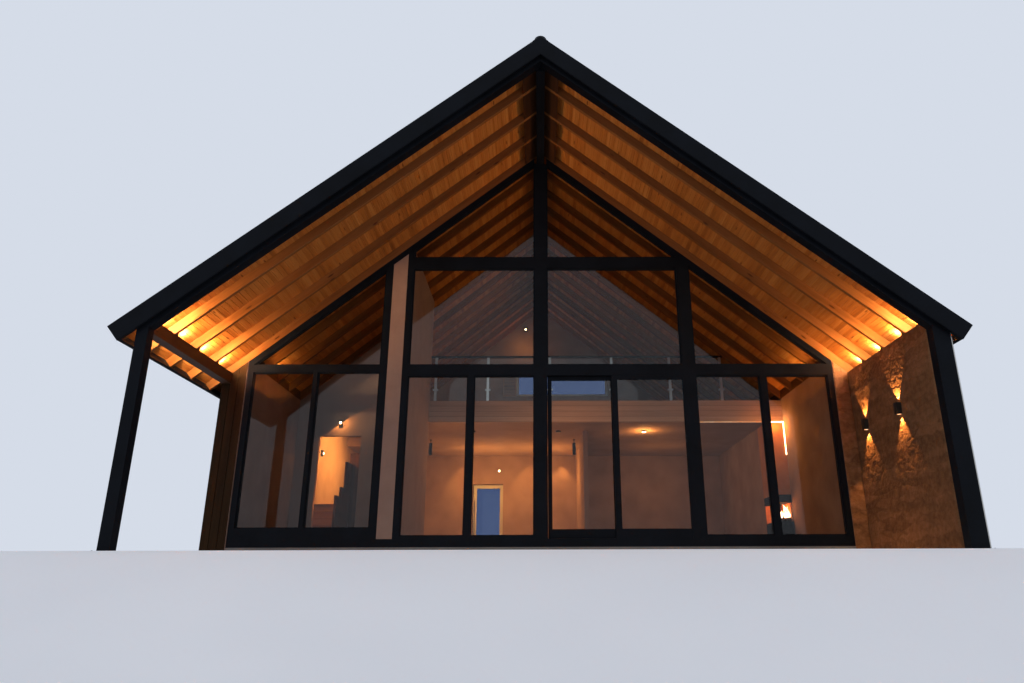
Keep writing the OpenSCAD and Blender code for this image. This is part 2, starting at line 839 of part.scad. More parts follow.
module balustrade_posts() {
  color("silver")
    for (x = balus_x)
      box([x - balus_post_w / 2, ym, mezz_z],
        [x + balus_post_w / 2, ym + band_t, mezz_z + balus_h - balus_rail_h]);
}

module balustrade_rail() {
  z2 = mezz_z + balus_h;
  color("#2b2d30")
    box([-long_wall_x, ym, z2 - balus_rail_h], [xr(z2, d_raf + seat), ym + band_t, z2]);
}

module balustrade_glass() {
  y1 = ym + (band_t - balus_glass_t) / 2;
  z2 = mezz_z + balus_h - balus_rail_h;
  n = len(balus_x) - 1;
  color([0.6, 0.7, 0.8, 0.35]) {
    for (i = [0 : n - 1])
      box([balus_x[i] + balus_post_w / 2, y1, mezz_z],
        [balus_x[i + 1] - balus_post_w / 2, y1 + balus_glass_t, z2]);
    across(y1, y1 + balus_glass_t)
      polygon([[balus_x[n] + balus_post_w / 2, mezz_z], [xin, mezz_z],
        [xin, zr(xin, d_raf + seat)], [xr(z2, d_raf + seat), z2],
        [balus_x[n] + balus_post_w / 2, z2]]);
  }
}

module stair_lower_flight() {
  color("#8a6a48")
    along(-xin, -xst)
      polygon(concat([for (k = [0 : lower_n - 1], j = [0, 1])
        [yst + k * going, floor_z + (k + j) * rise]],
        [[yl2, landing_z], [yl2, floor_z]]));
}

// Flight that turns to the right, with the second landing
module stair_middle_flight() {
  color("#8a6a48")
    across(yl1, yl2)
      polygon(concat([for (k = [0 : middle_n - 1], j = [0, 1])
        [-xst + k * going, landing_z + (k + j) * rise]],
        [[xs2, landing_2_z], [xs2, landing_2_z - waist], [-xst, landing_z - waist]]));
}

// Flight that turns to the rear and reaches the mezzanine
module stair_top_flight() {
  color("#8a6a48")
    along(xs1, xs2)
      polygon(concat([for (k = [0 : top_n - 2], j = [0, 1])
        [yl2 + k * going, landing_2_z + (k + j) * rise]],
        [[ytop, mezz_z - rise], [ytop, mezz_z - rise - waist], [yl2, landing_2_z - waist]]));
}

// Stepped screen along the right side of the lower flight and the front of the middle one
module stair_screen() {
  y2 = yst + screen_len_1;
  y3 = y2 + screen_len_2;
  z1 = floor_z + screen_h;
  z3 = landing_z + screen_over_1;
  color("#4a3a30") {
    along(-xst, -xst + screen_t)
      polygon([[yst, floor_z], [yl1 - screen_t, floor_z], [yl1 - screen_t, z3], [y3, z3],
        [y3, z1 + screen_up], [y2, z1 + screen_up], [y2, z1], [yst, z1]]);
    across(yl1 - screen_t, yl1)
      polygon(concat([[xs2, floor_z], [-xst, floor_z]],
        [for (k = [0 : middle_n - 2], j = [0, 1])
          [-xst + (k + j) * going, landing_z + (k + 1) * rise + screen_over_2]],
        [[xs1, landing_2_z + screen_over_2], [xs2, landing_2_z + screen_over_2]]));
  }
}

module chimney_breast() {
  color("#b46a34")
    box([xin - breast_out, ym, breast_z], [xin, ym + breast_len, mezz_z - band_h]);
}

module fire_surround() {
  color("#202020") {
    box([xin - breast_out, ym, breast_z - hood_h], [xin, ym + breast_len, breast_z]);
    box([xin - breast_out, ym, floor_z], [xin, ym + breast_len, floor_z + hearth_h]);
  }
}

module wall_lights() {
  over_door = mezz_z - mezz_t - rdoor_z;
  color("#202020") {
    for (y = [lamp_y1, lamp_y2])
      box([xro - porch_wall_t - lamp_w, yg - y - lamp_w / 2, lamp_z],
        [xro - porch_wall_t, yg - y + lamp_w / 2, lamp_z + lamp_h]);
    translate([-doorway_x - doorway_w / 2, ycw - door_lamp_w, floor_z + doorway_h + door_lamp_up])
      translate([-door_lamp_w / 2, 0, 0])
        cube([door_lamp_w, door_lamp_w, door_lamp_h]);
    translate([-gable_lamp_x - gable_lamp_w / 2, yr - gable_lamp_d, ridge_z - gable_lamp_down])
      cube([gable_lamp_w, gable_lamp_d, gable_lamp_h]);
    translate([-rdoor_x - rear_lamp_in - rear_lamp_w / 2, yr - rear_lamp_w,
        rdoor_z + rear_lamp_up / 100 * over_door])
      cube([rear_lamp_w, rear_lamp_w, rear_lamp_h / 100 * over_door]);
    translate([-xin, yl1 + stair_lamp_back - stair_lamp_w / 2, landing_z + stair_lamp_up])
      cube([stair_lamp_w, stair_lamp_w, stair_lamp_h]);
  }
}

module uplights() {
  color("#202020")
    for (k = [0 : glaze_rafter - 1], side = [-1, 1]) {
      x = side < 0 ? xlo - eave_beam_w + uplight_in : xro - porch_wall_t + uplight_in;
      y = k == 0 ? ypb + uplight_first : yk(k) - uplight_back;
      intersection() {
        translate([side * x, y, zr(x, d_raf) - 200])
          cylinder(r = uplight_r, h = 400, $fn = 48);
        slope_bar(side, x - 200, x + 200, d_raf - uplight_h, d_raf, y - 100, y + 100);
      }
    }
}

module ceiling_lights() {
  color("white")
    for (k = [0 : ceil_n - 1])
      translate([ceil_x - k * ceil_gap, ym + ceil_back, mezz_z - mezz_t - ceil_h])
        cylinder(r = ceil_r, h = ceil_h, $fn = 48);
}

// Rear door leaf: hinged on its outer face at the side towards the centre
rx1 = -rdoor_x - rdoor_w + rdoor_side;
rx2 = -rdoor_x - rdoor_side;
rz1 = floor_z + rdoor_end;
rz2 = rdoor_z - rdoor_end;
ry1 = yro - rdoor_t;
hinge_x = -rdoor_x - rdoor_side / 2;
hinge_y = yro + knuckle_r + knuckle_out;
hinge_z = [floor_z + hinge_low, (floor_z + rdoor_z) / 2, rdoor_z - hinge_high];

// A knuckle with its plate towards the given side
module knuckle(side, z) {
  translate([hinge_x, hinge_y, z])
    cylinder(r = knuckle_r, h = knuckle_h, $fn = 48);
  if (side < 0)
    box([rx2 - hinge_plate, yro, z], [rx2, yro + hinge_plate_t, z + knuckle_h]);
  else
    box([-rdoor_x, yro, z], [-rdoor_x + hinge_plate, yro + hinge_plate_t, z + knuckle_h]);
}

module rear_door_stiles() {
  color("#d8d4cc") {
    box([rx1, ry1, rz1], [rx1 + rdoor_stile, yro, rz2]);
    box([rx2 - rdoor_stile, ry1, rz1], [rx2, yro, rz2]);
    for (z = hinge_z)
      knuckle(-1, z + knuckle_h + run_gap);
  }
}

module rear_door_hinges() {
  color("silver")
    for (z = hinge_z)
      knuckle(1, z);
}

module rear_door_rails() {
  color("#d8d4cc")
    for (z = [rz1, rz2 - rdoor_stile])
      box([rx1 + rdoor_stile, ry1, z], [rx2 - rdoor_stile, yro, z + rdoor_stile]);
}

module rear_door_glass() {
  color([0.6, 0.7, 0.8, 0.35])
    box([rx1 + rdoor_stile, ry1 + (rdoor_t - rdoor_glass_t) / 2, rz1 + rdoor_stile],
      [rx2 - rdoor_stile, ry1 + (rdoor_t + rdoor_glass_t) / 2, rz2 - rdoor_stile]);
}

module rear_door_pull() {
  x = rx1 + rdoor_stile / 2;
  z1 = floor_z + pull_up;
  color("silver") {
    translate([x, ry1 - stem_len, z1])
      cylinder(r = pull_r, h = pull_len, $fn = 48);
    for (z = [z1 + stem_in, z1 + pull_len - stem_in])
      translate([x, ry1, z])
        rotate([90, 0, 0])
          cylinder(r = stem_r, h = stem_len, $fn = 48);
  }
}

module rear_window_frame() {
  z1 = rwin_z;
  z2 = rwin_z + rwin_h;
  color("#d8d4cc")
    across(yr + rwin_in, yr + rwin_in + rwin_t)
      difference() {
        polygon([[-rwin_left, z1], [rwin_right, z1], [rwin_right, z2], [-rwin_left, z2]]);
        polygon([[-rwin_left + rwin_bar, z1 + rwin_bar], [rwin_right - rwin_bar, z1 + rwin_bar],
          [rwin_right - rwin_bar, z2 - rwin_bar], [-rwin_left + rwin_bar, z2 - rwin_bar]]);
      }
}

module rear_window_glass() {
  color([0.6, 0.7, 0.8, 0.35])
    box([-rwin_left + rwin_bar, yr + rwin_in + (rwin_t - rwin_glass_t) / 2, rwin_z + rwin_bar],
      [rwin_right - rwin_bar, yr + rwin_in + (rwin_t + rwin_glass_t) / 2,
        rwin_z + rwin_h - rwin_bar]);
}

floor_slab();
front_plinth();
left_side_wall();
right_side_wall();
porch_stone_wall();
rear_wall();
rear_wall_over_door();
rear_gable_sides();
rafters();
soffit_boards();
roof_covering();
ridge_cap();
front_barge();
rear_barge();
eave_fascias();
portal_beams();
portal_posts();
ridge_beam();
ridge_blocks();
left_eave_beam();
eave_blocking();
glazing_sill();
glazing_posts();
glazing_transoms();
glazing_heads();
pale_pier();
front_glass();
door_fixed_rails();
door_leaf_stiles();
door_leaf_rails();
door_leaf_glass();
long_wall();
cross_wall();
cross_wall_over_door();
rear_inner_wall();
mezzanine_floor();
mezzanine_band();
balustrade_posts();
balustrade_rail();
balustrade_glass();
stair_lower_flight();
stair_middle_flight();
stair_top_flight();
stair_screen();
chimney_breast();
fire_surround();
wall_lights();
uplights();
ceiling_lights();
rear_door_stiles();
rear_door_rails();
rear_door_glass();
rear_door_pull();
rear_door_hinges();
rear_window_frame();
rear_window_glass();
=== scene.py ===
# %% [markdown]
# # A gabled cabin with a glazed front
# The CAD model gives every wall, rafter and pane its place. This script loads it unchanged,
# gives each part the finish of its real material, and adds what is too fine for the CAD:
# grooved boards, seams, stones, beads, bolts and lamps. Everything is in metres, with +Z up,
# +X to the right and +Y from the porch to the rear.

# %% load the frame
import json
import math
import bpy
import numpy as np
from mathutils import Matrix, Vector


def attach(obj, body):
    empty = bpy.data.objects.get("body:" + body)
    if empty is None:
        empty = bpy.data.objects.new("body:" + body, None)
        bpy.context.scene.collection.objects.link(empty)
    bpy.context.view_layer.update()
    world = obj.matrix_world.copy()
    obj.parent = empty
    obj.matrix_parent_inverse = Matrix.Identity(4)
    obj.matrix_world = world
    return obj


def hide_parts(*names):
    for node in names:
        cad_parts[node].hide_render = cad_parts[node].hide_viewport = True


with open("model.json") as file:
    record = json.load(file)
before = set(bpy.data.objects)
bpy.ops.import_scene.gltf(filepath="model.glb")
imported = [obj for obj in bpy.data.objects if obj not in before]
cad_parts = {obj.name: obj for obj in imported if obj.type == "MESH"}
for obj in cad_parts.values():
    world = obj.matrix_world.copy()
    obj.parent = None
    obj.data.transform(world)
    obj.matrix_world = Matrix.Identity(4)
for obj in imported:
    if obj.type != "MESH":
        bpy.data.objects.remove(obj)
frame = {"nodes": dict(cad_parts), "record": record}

scene = bpy.context.scene
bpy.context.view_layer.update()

# %% [markdown]
# The camera stands low and close in front of the porch and looks up at the ridge. Its place
# and lens were fitted to edges of the building, so the numbers are plain measurements. A
# small sensor shift puts the optical axis where the picture has it.

# %% camera
IMAGE_W, IMAGE_H = 1024, 683
FOCAL_PX, SENSOR_MM = 727.39, 36.0
AXIS_PX = (542.60, 341.35)
EYE = Vector((-0.028, -17.69, -0.4215))
TILT, TURN, ROLL = (math.radians(a) for a in (18.326, 0.269, -0.173))
ahead = Vector((math.sin(TURN) * math.cos(TILT), math.cos(TURN) * math.cos(TILT),
                math.sin(TILT)))
side = Vector((math.cos(TURN), -math.sin(TURN), 0))
over = side.cross(ahead)
cam_x = math.cos(ROLL) * side + math.sin(ROLL) * over
cam_y = -math.sin(ROLL) * side + math.cos(ROLL) * over
view = Matrix((cam_x, cam_y, -ahead)).transposed().to_4x4()
view.translation = EYE
lens = bpy.data.cameras.new("camera")
lens.sensor_width = SENSOR_MM
lens.lens = FOCAL_PX / IMAGE_W * SENSOR_MM
lens.shift_x = -(AXIS_PX[0] - IMAGE_W / 2) / IMAGE_W
lens.shift_y = (AXIS_PX[1] - IMAGE_H / 2) / IMAGE_W
lens.clip_end = 2000
camera = bpy.data.objects.new("camera", lens)
camera.matrix_world = view
scene.collection.objects.link(camera)
scene.camera = camera
print("lens", round(lens.lens, 2), "mm")

# %% [markdown]
# Many pieces lie on the two roof planes. Two functions give points on them: the level below
# the roof plane at a distance from the centre line, and a point that is reached by going
# down the slope. They repeat the sizes of the CAD source in metres.

# %% sizes of the house
RIDGE, PITCH = 8.9, math.radians(39.3)
COS, SIN, TAN = math.cos(PITCH), math.sin(PITCH), math.tan(PITCH)
CLAD, BOARD, RAFTER_D, RAFTER_W = 0.050, 0.028, 0.160, 0.070
D_BOARD = CLAD + BOARD
D_RAFTER = D_BOARD + RAFTER_D
FRONT, BACK, BARGE_T, BARGE_D = -7.0, 7.0, 0.080, 0.285
SLOPE = 6.75 / COS
FASCIA = 0.045
RAFTER_Y = -6.11 + 0.81 * np.arange(17)
GLASS_Y, REAR_IN, REAR_OUT = -3.68, 6.11, 6.39
LEFT_OUT, RIGHT_OUT, INNER = 6.33, 6.43, 5.85
FLOOR, CEILING, UPPER_FLOOR = 0.35, 3.50, 3.77
HEAD_D = 0.356


def level(x, d):
    """Height at distance x from the centre line, d below the roof plane square to it."""
    return RIDGE - np.abs(x) * TAN - d / COS


def down(way, s, d):
    """Point (x, z) at s metres down the slope on side way (-1 or 1), d below the plane:
    x = way (s cos p - d sin p), z = ridge - s sin p - d cos p."""
    return way * (s * COS - d * SIN), RIDGE - s * SIN - d * COS


# %% [markdown]
# New pieces are arrays of points. One function turns points and faces into an object with a
# finish, a material slot and the body that carries it. Blender's own tools could add them
# one at a time, but as arrays each shape stays one formula and nothing loops over vertices.

# %% mesh from arrays
count = {"pieces": 0, "faces": 0}


def piece(name, points, faces, slot, finish=None, body="house", smooth=False, **attributes):
    """Object from points (n, 3) and a list of face arrays, each (m, corners), in its slot's
    own finish unless another is given. An attribute is a value or a vector for each point."""
    mesh = bpy.data.meshes.new(name)
    loops = np.concatenate([f.ravel() for f in faces]).astype(np.int32)
    sizes = np.concatenate([np.full(len(f), f.shape[1]) for f in faces])
    starts = np.concatenate([[0], np.cumsum(sizes)[:-1]]).astype(np.int32)
    mesh.vertices.add(len(points))
    mesh.vertices.foreach_set("co", np.asarray(points, np.float32).ravel())
    mesh.loops.add(len(loops))
    mesh.loops.foreach_set("vertex_index", loops)
    mesh.polygons.add(len(sizes))
    mesh.polygons.foreach_set("loop_start", starts)
    mesh.polygons.foreach_set("use_smooth", np.full(len(sizes), smooth))
    for key, value in attributes.items():
        value = np.asarray(value, np.float32)
        kind = "FLOAT" if value.ndim == 1 else "FLOAT_VECTOR"
        layer = mesh.attributes.new(key, kind, "POINT")
        layer.data.foreach_set("value" if value.ndim == 1 else "vector", value.ravel())
    mesh.update(calc_edges=True)
    mesh.validate()
    mesh.materials.append(finish or finishes[slot])
    obj = bpy.data.objects.new(name, mesh)
    scene.collection.objects.link(obj)
    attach(obj, body)
    count["pieces"] += 1
    count["faces"] += len(sizes)
    return obj


# %% [markdown]
# Most timber and trim is a bar between two equal outlines: a rafter with a plumb cut at one
# end and a square cut at the other, a board, a bead. `bars` joins the outlines of many bars
# at once, closes their ends, and turns a bar round where its faces would point inwards.

# %% bars between two outlines
def bars(first, last):
    """Points and faces of k bars from outlines first and last, each (k, n, 3): side faces
    i, i+1, n+i+1, n+i and two end faces. A bar whose signed volume is negative is reversed."""
    first, last = np.asarray(first, float), np.asarray(last, float)
    k, n, _ = first.shape
    points = np.concatenate([first, last], axis=1)
    i = np.arange(n)
    j = (i + 1) % n
    quads = np.stack([i, j, n + j, n + i], axis=1)
    middle = points.mean(axis=1, keepdims=True)
    p = points - middle
    a, b, c, d = (p[:, quads[:, m]] for m in range(4))
    volume = (np.cross(a, b) * c + np.cross(a, c) * d).sum(axis=(1, 2))
    ends = np.stack([i[::-1], n + i])
    offsets = (np.arange(k) * 2 * n)[:, None, None]
    flip = (volume < 0)[:, None, None]
    side_faces = np.where(flip, quads[None, :, ::-1], quads[None]) + offsets
    end_faces = np.where(flip, ends[None, :, ::-1], ends[None]) + offsets
    return points.reshape(-1, 3), [side_faces.reshape(-1, 4), end_faces.reshape(-1, n)]


def arris(w, h, c):
    """Outline of a w by h section with its corners cut off by c: eight points round zero."""
    a, b = w / 2, h / 2
    return np.array([[-a + c, -b], [a - c, -b], [a, -b + c], [a, b - c], [a - c, b],
                     [-a + c, b], [-a, b - c], [-a, -b + c]])


def merge(*parts):
    """Several (points, faces) pairs as one."""
    points, faces, at = [], {}, 0
    for p, fs in parts:
        points.append(p)
        for f in fs:
            faces.setdefault(f.shape[1], []).append(f + at)
        at += len(p)
    return np.concatenate(points), [np.concatenate(f) for f in faces.values()]


print("a bar has", len(bars(np.zeros((1, 8, 3)), np.ones((1, 8, 3)))[0]), "points")

# %% [markdown]
# Every finish is a node tree. Colours are written as sRGB hex values, as in any picture
# program, and turned to linear light here. One small function adds a node, sets its
# properties, and links or fills its inputs; a node given as an input stands for its first
# output.

# %% colour and node helpers
def colour(text):
    """sRGB hex value as linear red, green, blue and alpha."""
    c = [int(text[i:i + 2], 16) / 255 for i in (1, 3, 5)]
    return tuple(v / 12.92 if v <= 0.04045 else ((v + 0.055) / 1.055) ** 2.4 for v in c) + (1,)


def feed(tree, n, inputs):
    """Fills inputs of a node: links a socket or another node's first output, or sets a value."""
    for key, value in inputs.items():
        if isinstance(value, bpy.types.Node):
            value = value.outputs[0]
        if isinstance(value, bpy.types.NodeSocket):
            tree.links.new(value, n.inputs[key])
        else:
            n.inputs[key].default_value = value


def add(tree, kind, inputs=None, stops=None, **settings):
    """Adds a node, sets its properties, feeds its inputs, and sets the stops of a ramp."""
    n = tree.nodes.new("ShaderNode" + kind)
    for key, value in settings.items():
        setattr(n, key, value)
    feed(tree, n, inputs or {})
    if stops:
        ramp = n.color_ramp.elements
        for i, (at, hexa) in enumerate(stops):
            e = ramp[i] if i < 2 else ramp.new(at)
            e.position = at
            e.color = colour(hexa)
    return n


def material(name, roughness, metallic=0.0, **sockets):
    """New material with its shader's own values."""
    m = bpy.data.materials.new(name)
    m.use_nodes = True
    shader = m.node_tree.nodes["Principled BSDF"]
    shader.inputs["Roughness"].default_value = roughness
    shader.inputs["Metallic"].default_value = metallic
    for key, value in sockets.items():
        shader.inputs[key.replace("_", " ")].default_value = value
    return m, m.node_tree, shader


def lay(tree, way):
    """Object coordinates turned so that X runs along the grain, Y across it and Z in depth.
    On a slope, along = |x| cos p - z sin p and depth = |x| sin p + z cos p."""
    xyz = add(tree, "SeparateXYZ", {0: add(tree, "TexCoord").outputs["Object"]}).outputs
    if way in ("slope", "lining"):
        ax = add(tree, "Math", {0: xyz[0]}, operation="ABSOLUTE")
        s, d = (add(tree, "Math", {0: ax, 1: flat, 2: add(
            tree, "Math", {0: xyz[2], 1: tall}, operation="MULTIPLY")},
            operation="MULTIPLY_ADD") for flat, tall in ((COS, -SIN), (SIN, COS)))
        three = (s, xyz[1], d) if way == "slope" else (xyz[1], s, d)
    else:
        three = [xyz["XYZ".index(c)] for c in way]
    return add(tree, "CombineXYZ", {i: c for i, c in enumerate(three)})


print("helpers ready")

# %% [markdown]
# The CAD model has each outer wall and the upper floor as one solid, but the real ones are
# boards or stone on one side and plaster on the other. Splitting the mesh would change the
# CAD part, so the finish itself asks where a point lies and mixes in plaster indoors.

# %% indoor side of a wall
PLASTER = ("#8c7062", "#96796a", "#9f8272")
ALL_THE_WAY = 99.0


def indoors(tree, tint, height, top):
    """Mixes in plaster where the point lies inside the house: |x| < 5.86 m, y < 6.12 m and
    z < top. The outer walls are one solid each, boards or stone outside and plaster inside,
    and the upper floor is boards on top and plaster below."""
    xyz = add(tree, "SeparateXYZ", {0: add(tree, "TexCoord").outputs["Object"]}).outputs
    ax = add(tree, "Math", {0: xyz[0]}, operation="ABSOLUTE")
    near = add(tree, "Math", {0: ax, 1: 5.86}, operation="LESS_THAN")
    front = add(tree, "Math", {0: xyz[1], 1: 6.12}, operation="LESS_THAN")
    both = add(tree, "Math", {0: near, 1: front}, operation="MULTIPLY")
    under = add(tree, "Math", {0: xyz[2], 1: top}, operation="LESS_THAN")
    both = add(tree, "Math", {0: both, 1: under}, operation="MULTIPLY")
    spot = add(tree, "TexCoord").outputs["Object"]
    cloud = add(tree, "TexNoise", {"Vector": spot, "Scale": 1.5, "Detail": 5.0})
    trowel = add(tree, "ValToRGB", {0: cloud}, stops=[(0.35, PLASTER[0]), (0.7, PLASTER[2])])
    tint = add(tree, "Mix", {0: both, 6: tint, 7: trowel}, data_type="RGBA").outputs[2]
    return tint, add(tree, "Mix", {0: both, 2: height, 3: cloud})


print("plaster tones:", len(PLASTER))

# %% [markdown]
# ## Timber
# Oiled softwood shows three things at a distance: each board has its own tone, long streaks
# of early and late wood run along it, and knots dot it. Close by, fine pores show. The
# streaks are noise that is stretched about 25 times along the grain, the tones come from a
# random number for each board, and the knots are a sparse cell pattern. A photo of wood
# would blur close by; a pattern on object coordinates has its real widths everywhere.

# %% wood finish
def wood(name, way, dark, mid, pale, board=0.0, joint=0.0, knots=0.8, roughness=0.55,
         tone=0.5, streak=0.012, inside=0.0, sheen=0.25):
    """Wood with boards of the given width in metres. joint draws a dark joint of that width
    where the boards have none in the mesh, and inside plasters the indoor side up to that
    level."""
    m, tree, shader = material(name, roughness, Specular_IOR_Level=sheen)
    v = lay(tree, way)
    parts = add(tree, "SeparateXYZ", {0: v}).outputs
    row = add(tree, "Math", {0: parts[1], 1: board or 0.5}, operation="DIVIDE")
    number = add(tree, "Math", {0: row}, operation="FLOOR")
    chance = add(tree, "TexWhiteNoise", {"W": number}, noise_dimensions="1D").outputs
    moved = add(tree, "VectorMath", {0: chance["Color"], 1: (9, 9, 9), 2: v},
                operation="MULTIPLY_ADD")
    long = add(tree, "VectorMath", {0: moved, 1: (0.04 / streak, 1 / streak, 1 / streak)},
               operation="MULTIPLY")
    grain = add(tree, "TexNoise", {"Vector": long, "Scale": 1.0, "Detail": 4.0,
                                   "Roughness": 0.6, "Distortion": 0.5})
    wide = add(tree, "VectorMath", {0: moved, 1: (0.5, 7, 7)}, operation="MULTIPLY")
    cloud = add(tree, "TexNoise", {"Vector": wide, "Scale": 1.0, "Detail": 2.0})
    a = add(tree, "Math", {0: chance["Value"], 1: tone, 2: cloud}, operation="MULTIPLY_ADD")
    b = add(tree, "Math", {0: grain, 1: 0.9, 2: a}, operation="MULTIPLY_ADD")
    level_ = add(tree, "MapRange", {0: b, 1: 0.55, 2: 1.35 + tone * 0.5})
    tint = add(tree, "ValToRGB", {0: level_}, stops=[(0.0, dark), (1.0, pale), (0.5, mid)])
    cells = add(tree, "VectorMath", {0: moved, 1: (2.2, 9, 9)}, operation="MULTIPLY")
    spots = add(tree, "TexVoronoi", {"Vector": cells, "Scale": 1.0}).outputs
    rare = add(tree, "SeparateXYZ", {0: spots["Color"]})
    few = add(tree, "Math", {0: rare, 1: 1 - 0.25 * knots}, operation="GREATER_THAN")
    round_ = add(tree, "MapRange", {0: spots["Distance"], 1: 0.10, 2: 0.19, 3: 1.0, 4: 0.0})
    knot = add(tree, "Math", {0: few, 1: round_}, operation="MULTIPLY")
    tint = add(tree, "Mix", {0: knot, 6: tint, 7: colour(dark)}, data_type="RGBA").outputs[2]
    height = grain
    if joint:
        across = add(tree, "Math", {0: row}, operation="FRACT")
        edge = add(tree, "Math", {0: across, 1: 0.5}, operation="SUBTRACT")
        edge = add(tree, "Math", {0: edge}, operation="ABSOLUTE")
        part = joint / board
        gap = add(tree, "MapRange", {0: edge, 1: 0.5 - part, 2: 0.5 - part * 0.4})
        shade = add(tree, "Math", {0: gap, 1: 0.75}, operation="MULTIPLY")
        tint = add(tree, "Mix", {0: shade, 6: tint, 7: colour("#0b0705")},
                   data_type="RGBA").outputs[2]
        height = add(tree, "Math", {0: gap, 1: -2.0, 2: grain}, operation="MULTIPLY_ADD")
    if inside:
        tint, height = indoors(tree, tint, height, inside)
    gloss = add(tree, "MapRange", {0: grain, 3: roughness - 0.08, 4: roughness + 0.12})
    bump = add(tree, "Bump", {"Strength": 0.2, "Distance": 0.0012, "Height": height})
    feed(tree, shader, {"Base Color": tint, "Roughness": gloss, "Normal": bump})
    return m


finishes = {
    # knotty pine lining, oiled to a honey colour; joints are real grooves in the mesh
    "soffit_timber": wood("oiled_pine_lining", "lining", "#7d4417", "#b86f2e", "#cf8c45",
                          board=0.095, knots=0.8, tone=0.3, streak=0.008),
    # sawn rafters with a brown stain that lets the grain through
    "rafter_timber": wood("stained_sawn_pine", "slope", "#4f2a12", "#7d4b21", "#966033",
                          board=0.81, roughness=0.6),
    "beam_timber": wood("dark_stained_beam", "YXZ", "#24140a", "#3f2410", "#523018",
                        roughness=0.6, board=0.3),
    "wall_boards": wood("dark_stained_cladding", "ZYX", "#1b120a", "#2d1e11", "#3e2b19",
                        board=0.14, roughness=0.7, inside=ALL_THE_WAY, sheen=0.08),
    "floor_timber": wood("oiled_oak_floor", "YXZ", "#6d4a2a", "#946a41", "#ab8153",
                         board=0.14, joint=0.002, roughness=0.4, inside=UPPER_FLOOR - 0.03),
    "band_timber": wood("limed_board_band", "XZY", "#a07c62", "#b98f73", "#c79f83",
                        board=0.13, joint=0.004, knots=0.3, roughness=0.5),
    "stair_timber": wood("oak_stair", "XYZ", "#66472b", "#8e6640", "#a67d52", board=0.3,
                         roughness=0.45),
}
print("wood finishes:", len(finishes))

# %% [markdown]
# ## Steel, sheet metal and plaster
# The barge, the posts and the glazing bars are painted near black: a powder coat, matt, with
# a very fine orange-peel texture and a film of dust that breaks the gloss. One flat black
# would read as a hole, so tone and gloss drift. Metal sheet on the roof is the same family,
# a little glossier. Plaster and concrete are rough mineral surfaces whose colour drifts over
# hand widths.

# %% painted and mineral finishes
def coated(name, deep, dusty, roughness=0.5, **sockets):
    """Powder coat: a colour that drifts towards dust over half metres, roughness that
    drifts with it, and 2 mm orange peel."""
    m, tree, shader = material(name, roughness, **sockets)
    spot = add(tree, "TexCoord").outputs["Object"]
    drift = add(tree, "TexNoise", {"Vector": spot, "Scale": 1.7, "Detail": 5.0,
                                   "Roughness": 0.65})
    tint = add(tree, "ValToRGB", {0: drift}, stops=[(0.35, deep), (0.72, dusty)])
    gloss = add(tree, "MapRange", {0: drift, 3: roughness - 0.1, 4: roughness + 0.15})
    peel = add(tree, "TexNoise", {"Vector": spot, "Scale": 500.0, "Detail": 1.0})
    bump = add(tree, "Bump", {"Strength": 0.12, "Distance": 0.0006, "Height": peel})
    feed(tree, shader, {"Base Color": tint, "Roughness": gloss, "Normal": bump})
    return m


def mineral(name, dark, mid, pale, grit, patch, roughness=0.85, bite=0.3):
    """Plaster, render or concrete: patches of tone over the given metres and sand grains of
    the given metres in the bump."""
    m, tree, shader = material(name, roughness)
    spot = add(tree, "TexCoord").outputs["Object"]
    cloud = add(tree, "TexNoise", {"Vector": spot, "Scale": 1 / patch, "Detail": 6.0,
                                   "Roughness": 0.62})
    sand = add(tree, "TexNoise", {"Vector": spot, "Scale": 1 / grit, "Detail": 2.0})
    both = add(tree, "Math", {0: sand, 1: 0.35, 2: cloud}, operation="MULTIPLY_ADD")
    tint = add(tree, "ValToRGB", {0: both}, stops=[(0.4, dark), (0.95, pale), (0.66, mid)])
    bump = add(tree, "Bump", {"Strength": bite, "Distance": grit * 0.4, "Height": both})
    feed(tree, shader, {"Base Color": tint, "Normal": bump})
    return m


finishes.update({
    "black_steel": coated("matt_black_powder_coat", "#0e1014", "#171a20", 0.55,
                          Specular_IOR_Level=0.08),
    "roof_metal": coated("dark_seamed_sheet", "#14171c", "#20242b", 0.45,
                         Specular_IOR_Level=0.3),
    "pale_frame": coated("pale_frame_paint", "#c9c3b8", "#d9d4ca", 0.4),
    "lamp_body": coated("bronze_lamp_body", "#17130f", "#2a231b", 0.4),
    "concrete": mineral("cast_concrete", "#6b6762", "#807b75", "#918c85", 0.004, 0.7),
    "plaster": mineral("pale_lime_plaster", *PLASTER, 0.002, 0.5, bite=0.2),
    "breast_plaster": mineral("ochre_lime_plaster", "#9c6236", "#b27444", "#c08552", 0.002,
                              0.4, bite=0.2),
})
brushed, tree, shader = material("satin_aluminium", 0.35, metallic=1.0)
long = add(tree, "Mapping", {"Vector": add(tree, "TexCoord").outputs["Object"],
                             "Scale": (900, 900, 12)})
lines = add(tree, "TexNoise", {"Vector": long, "Scale": 1.0, "Detail": 2.0})
tint = add(tree, "ValToRGB", {0: lines}, stops=[(0.3, "#a9a7a2"), (0.7, "#c9c7c1")])
feed(tree, shader, {"Base Color": tint})
finishes["pale_metal"] = brushed
print("finishes:", len(finishes))

# %% [markdown]
# ## Rubble stone
# The wall on the right is laid of rough field stones with the mortar flush between them, in
# warm browns. The CAD wall is flat, so a skin of stones covers its faces. The stones come
# from cell centres on a jittered lattice: each point of the skin belongs to the nearest
# centre, and the distance to the next one tells how near the joint is. Tone and joint are
# stored with the points, so the colour follows the relief exactly. Where the core still
# shows, at a wall's end, a pattern of cells 0.2 m wide stands in.

# %% stone finishes
STONES = [(0.0, "#4a301f"), (1.0, "#a87d59"), (0.3, "#6c4a30"), (0.5, "#815a3b"),
          (0.72, "#926848")]


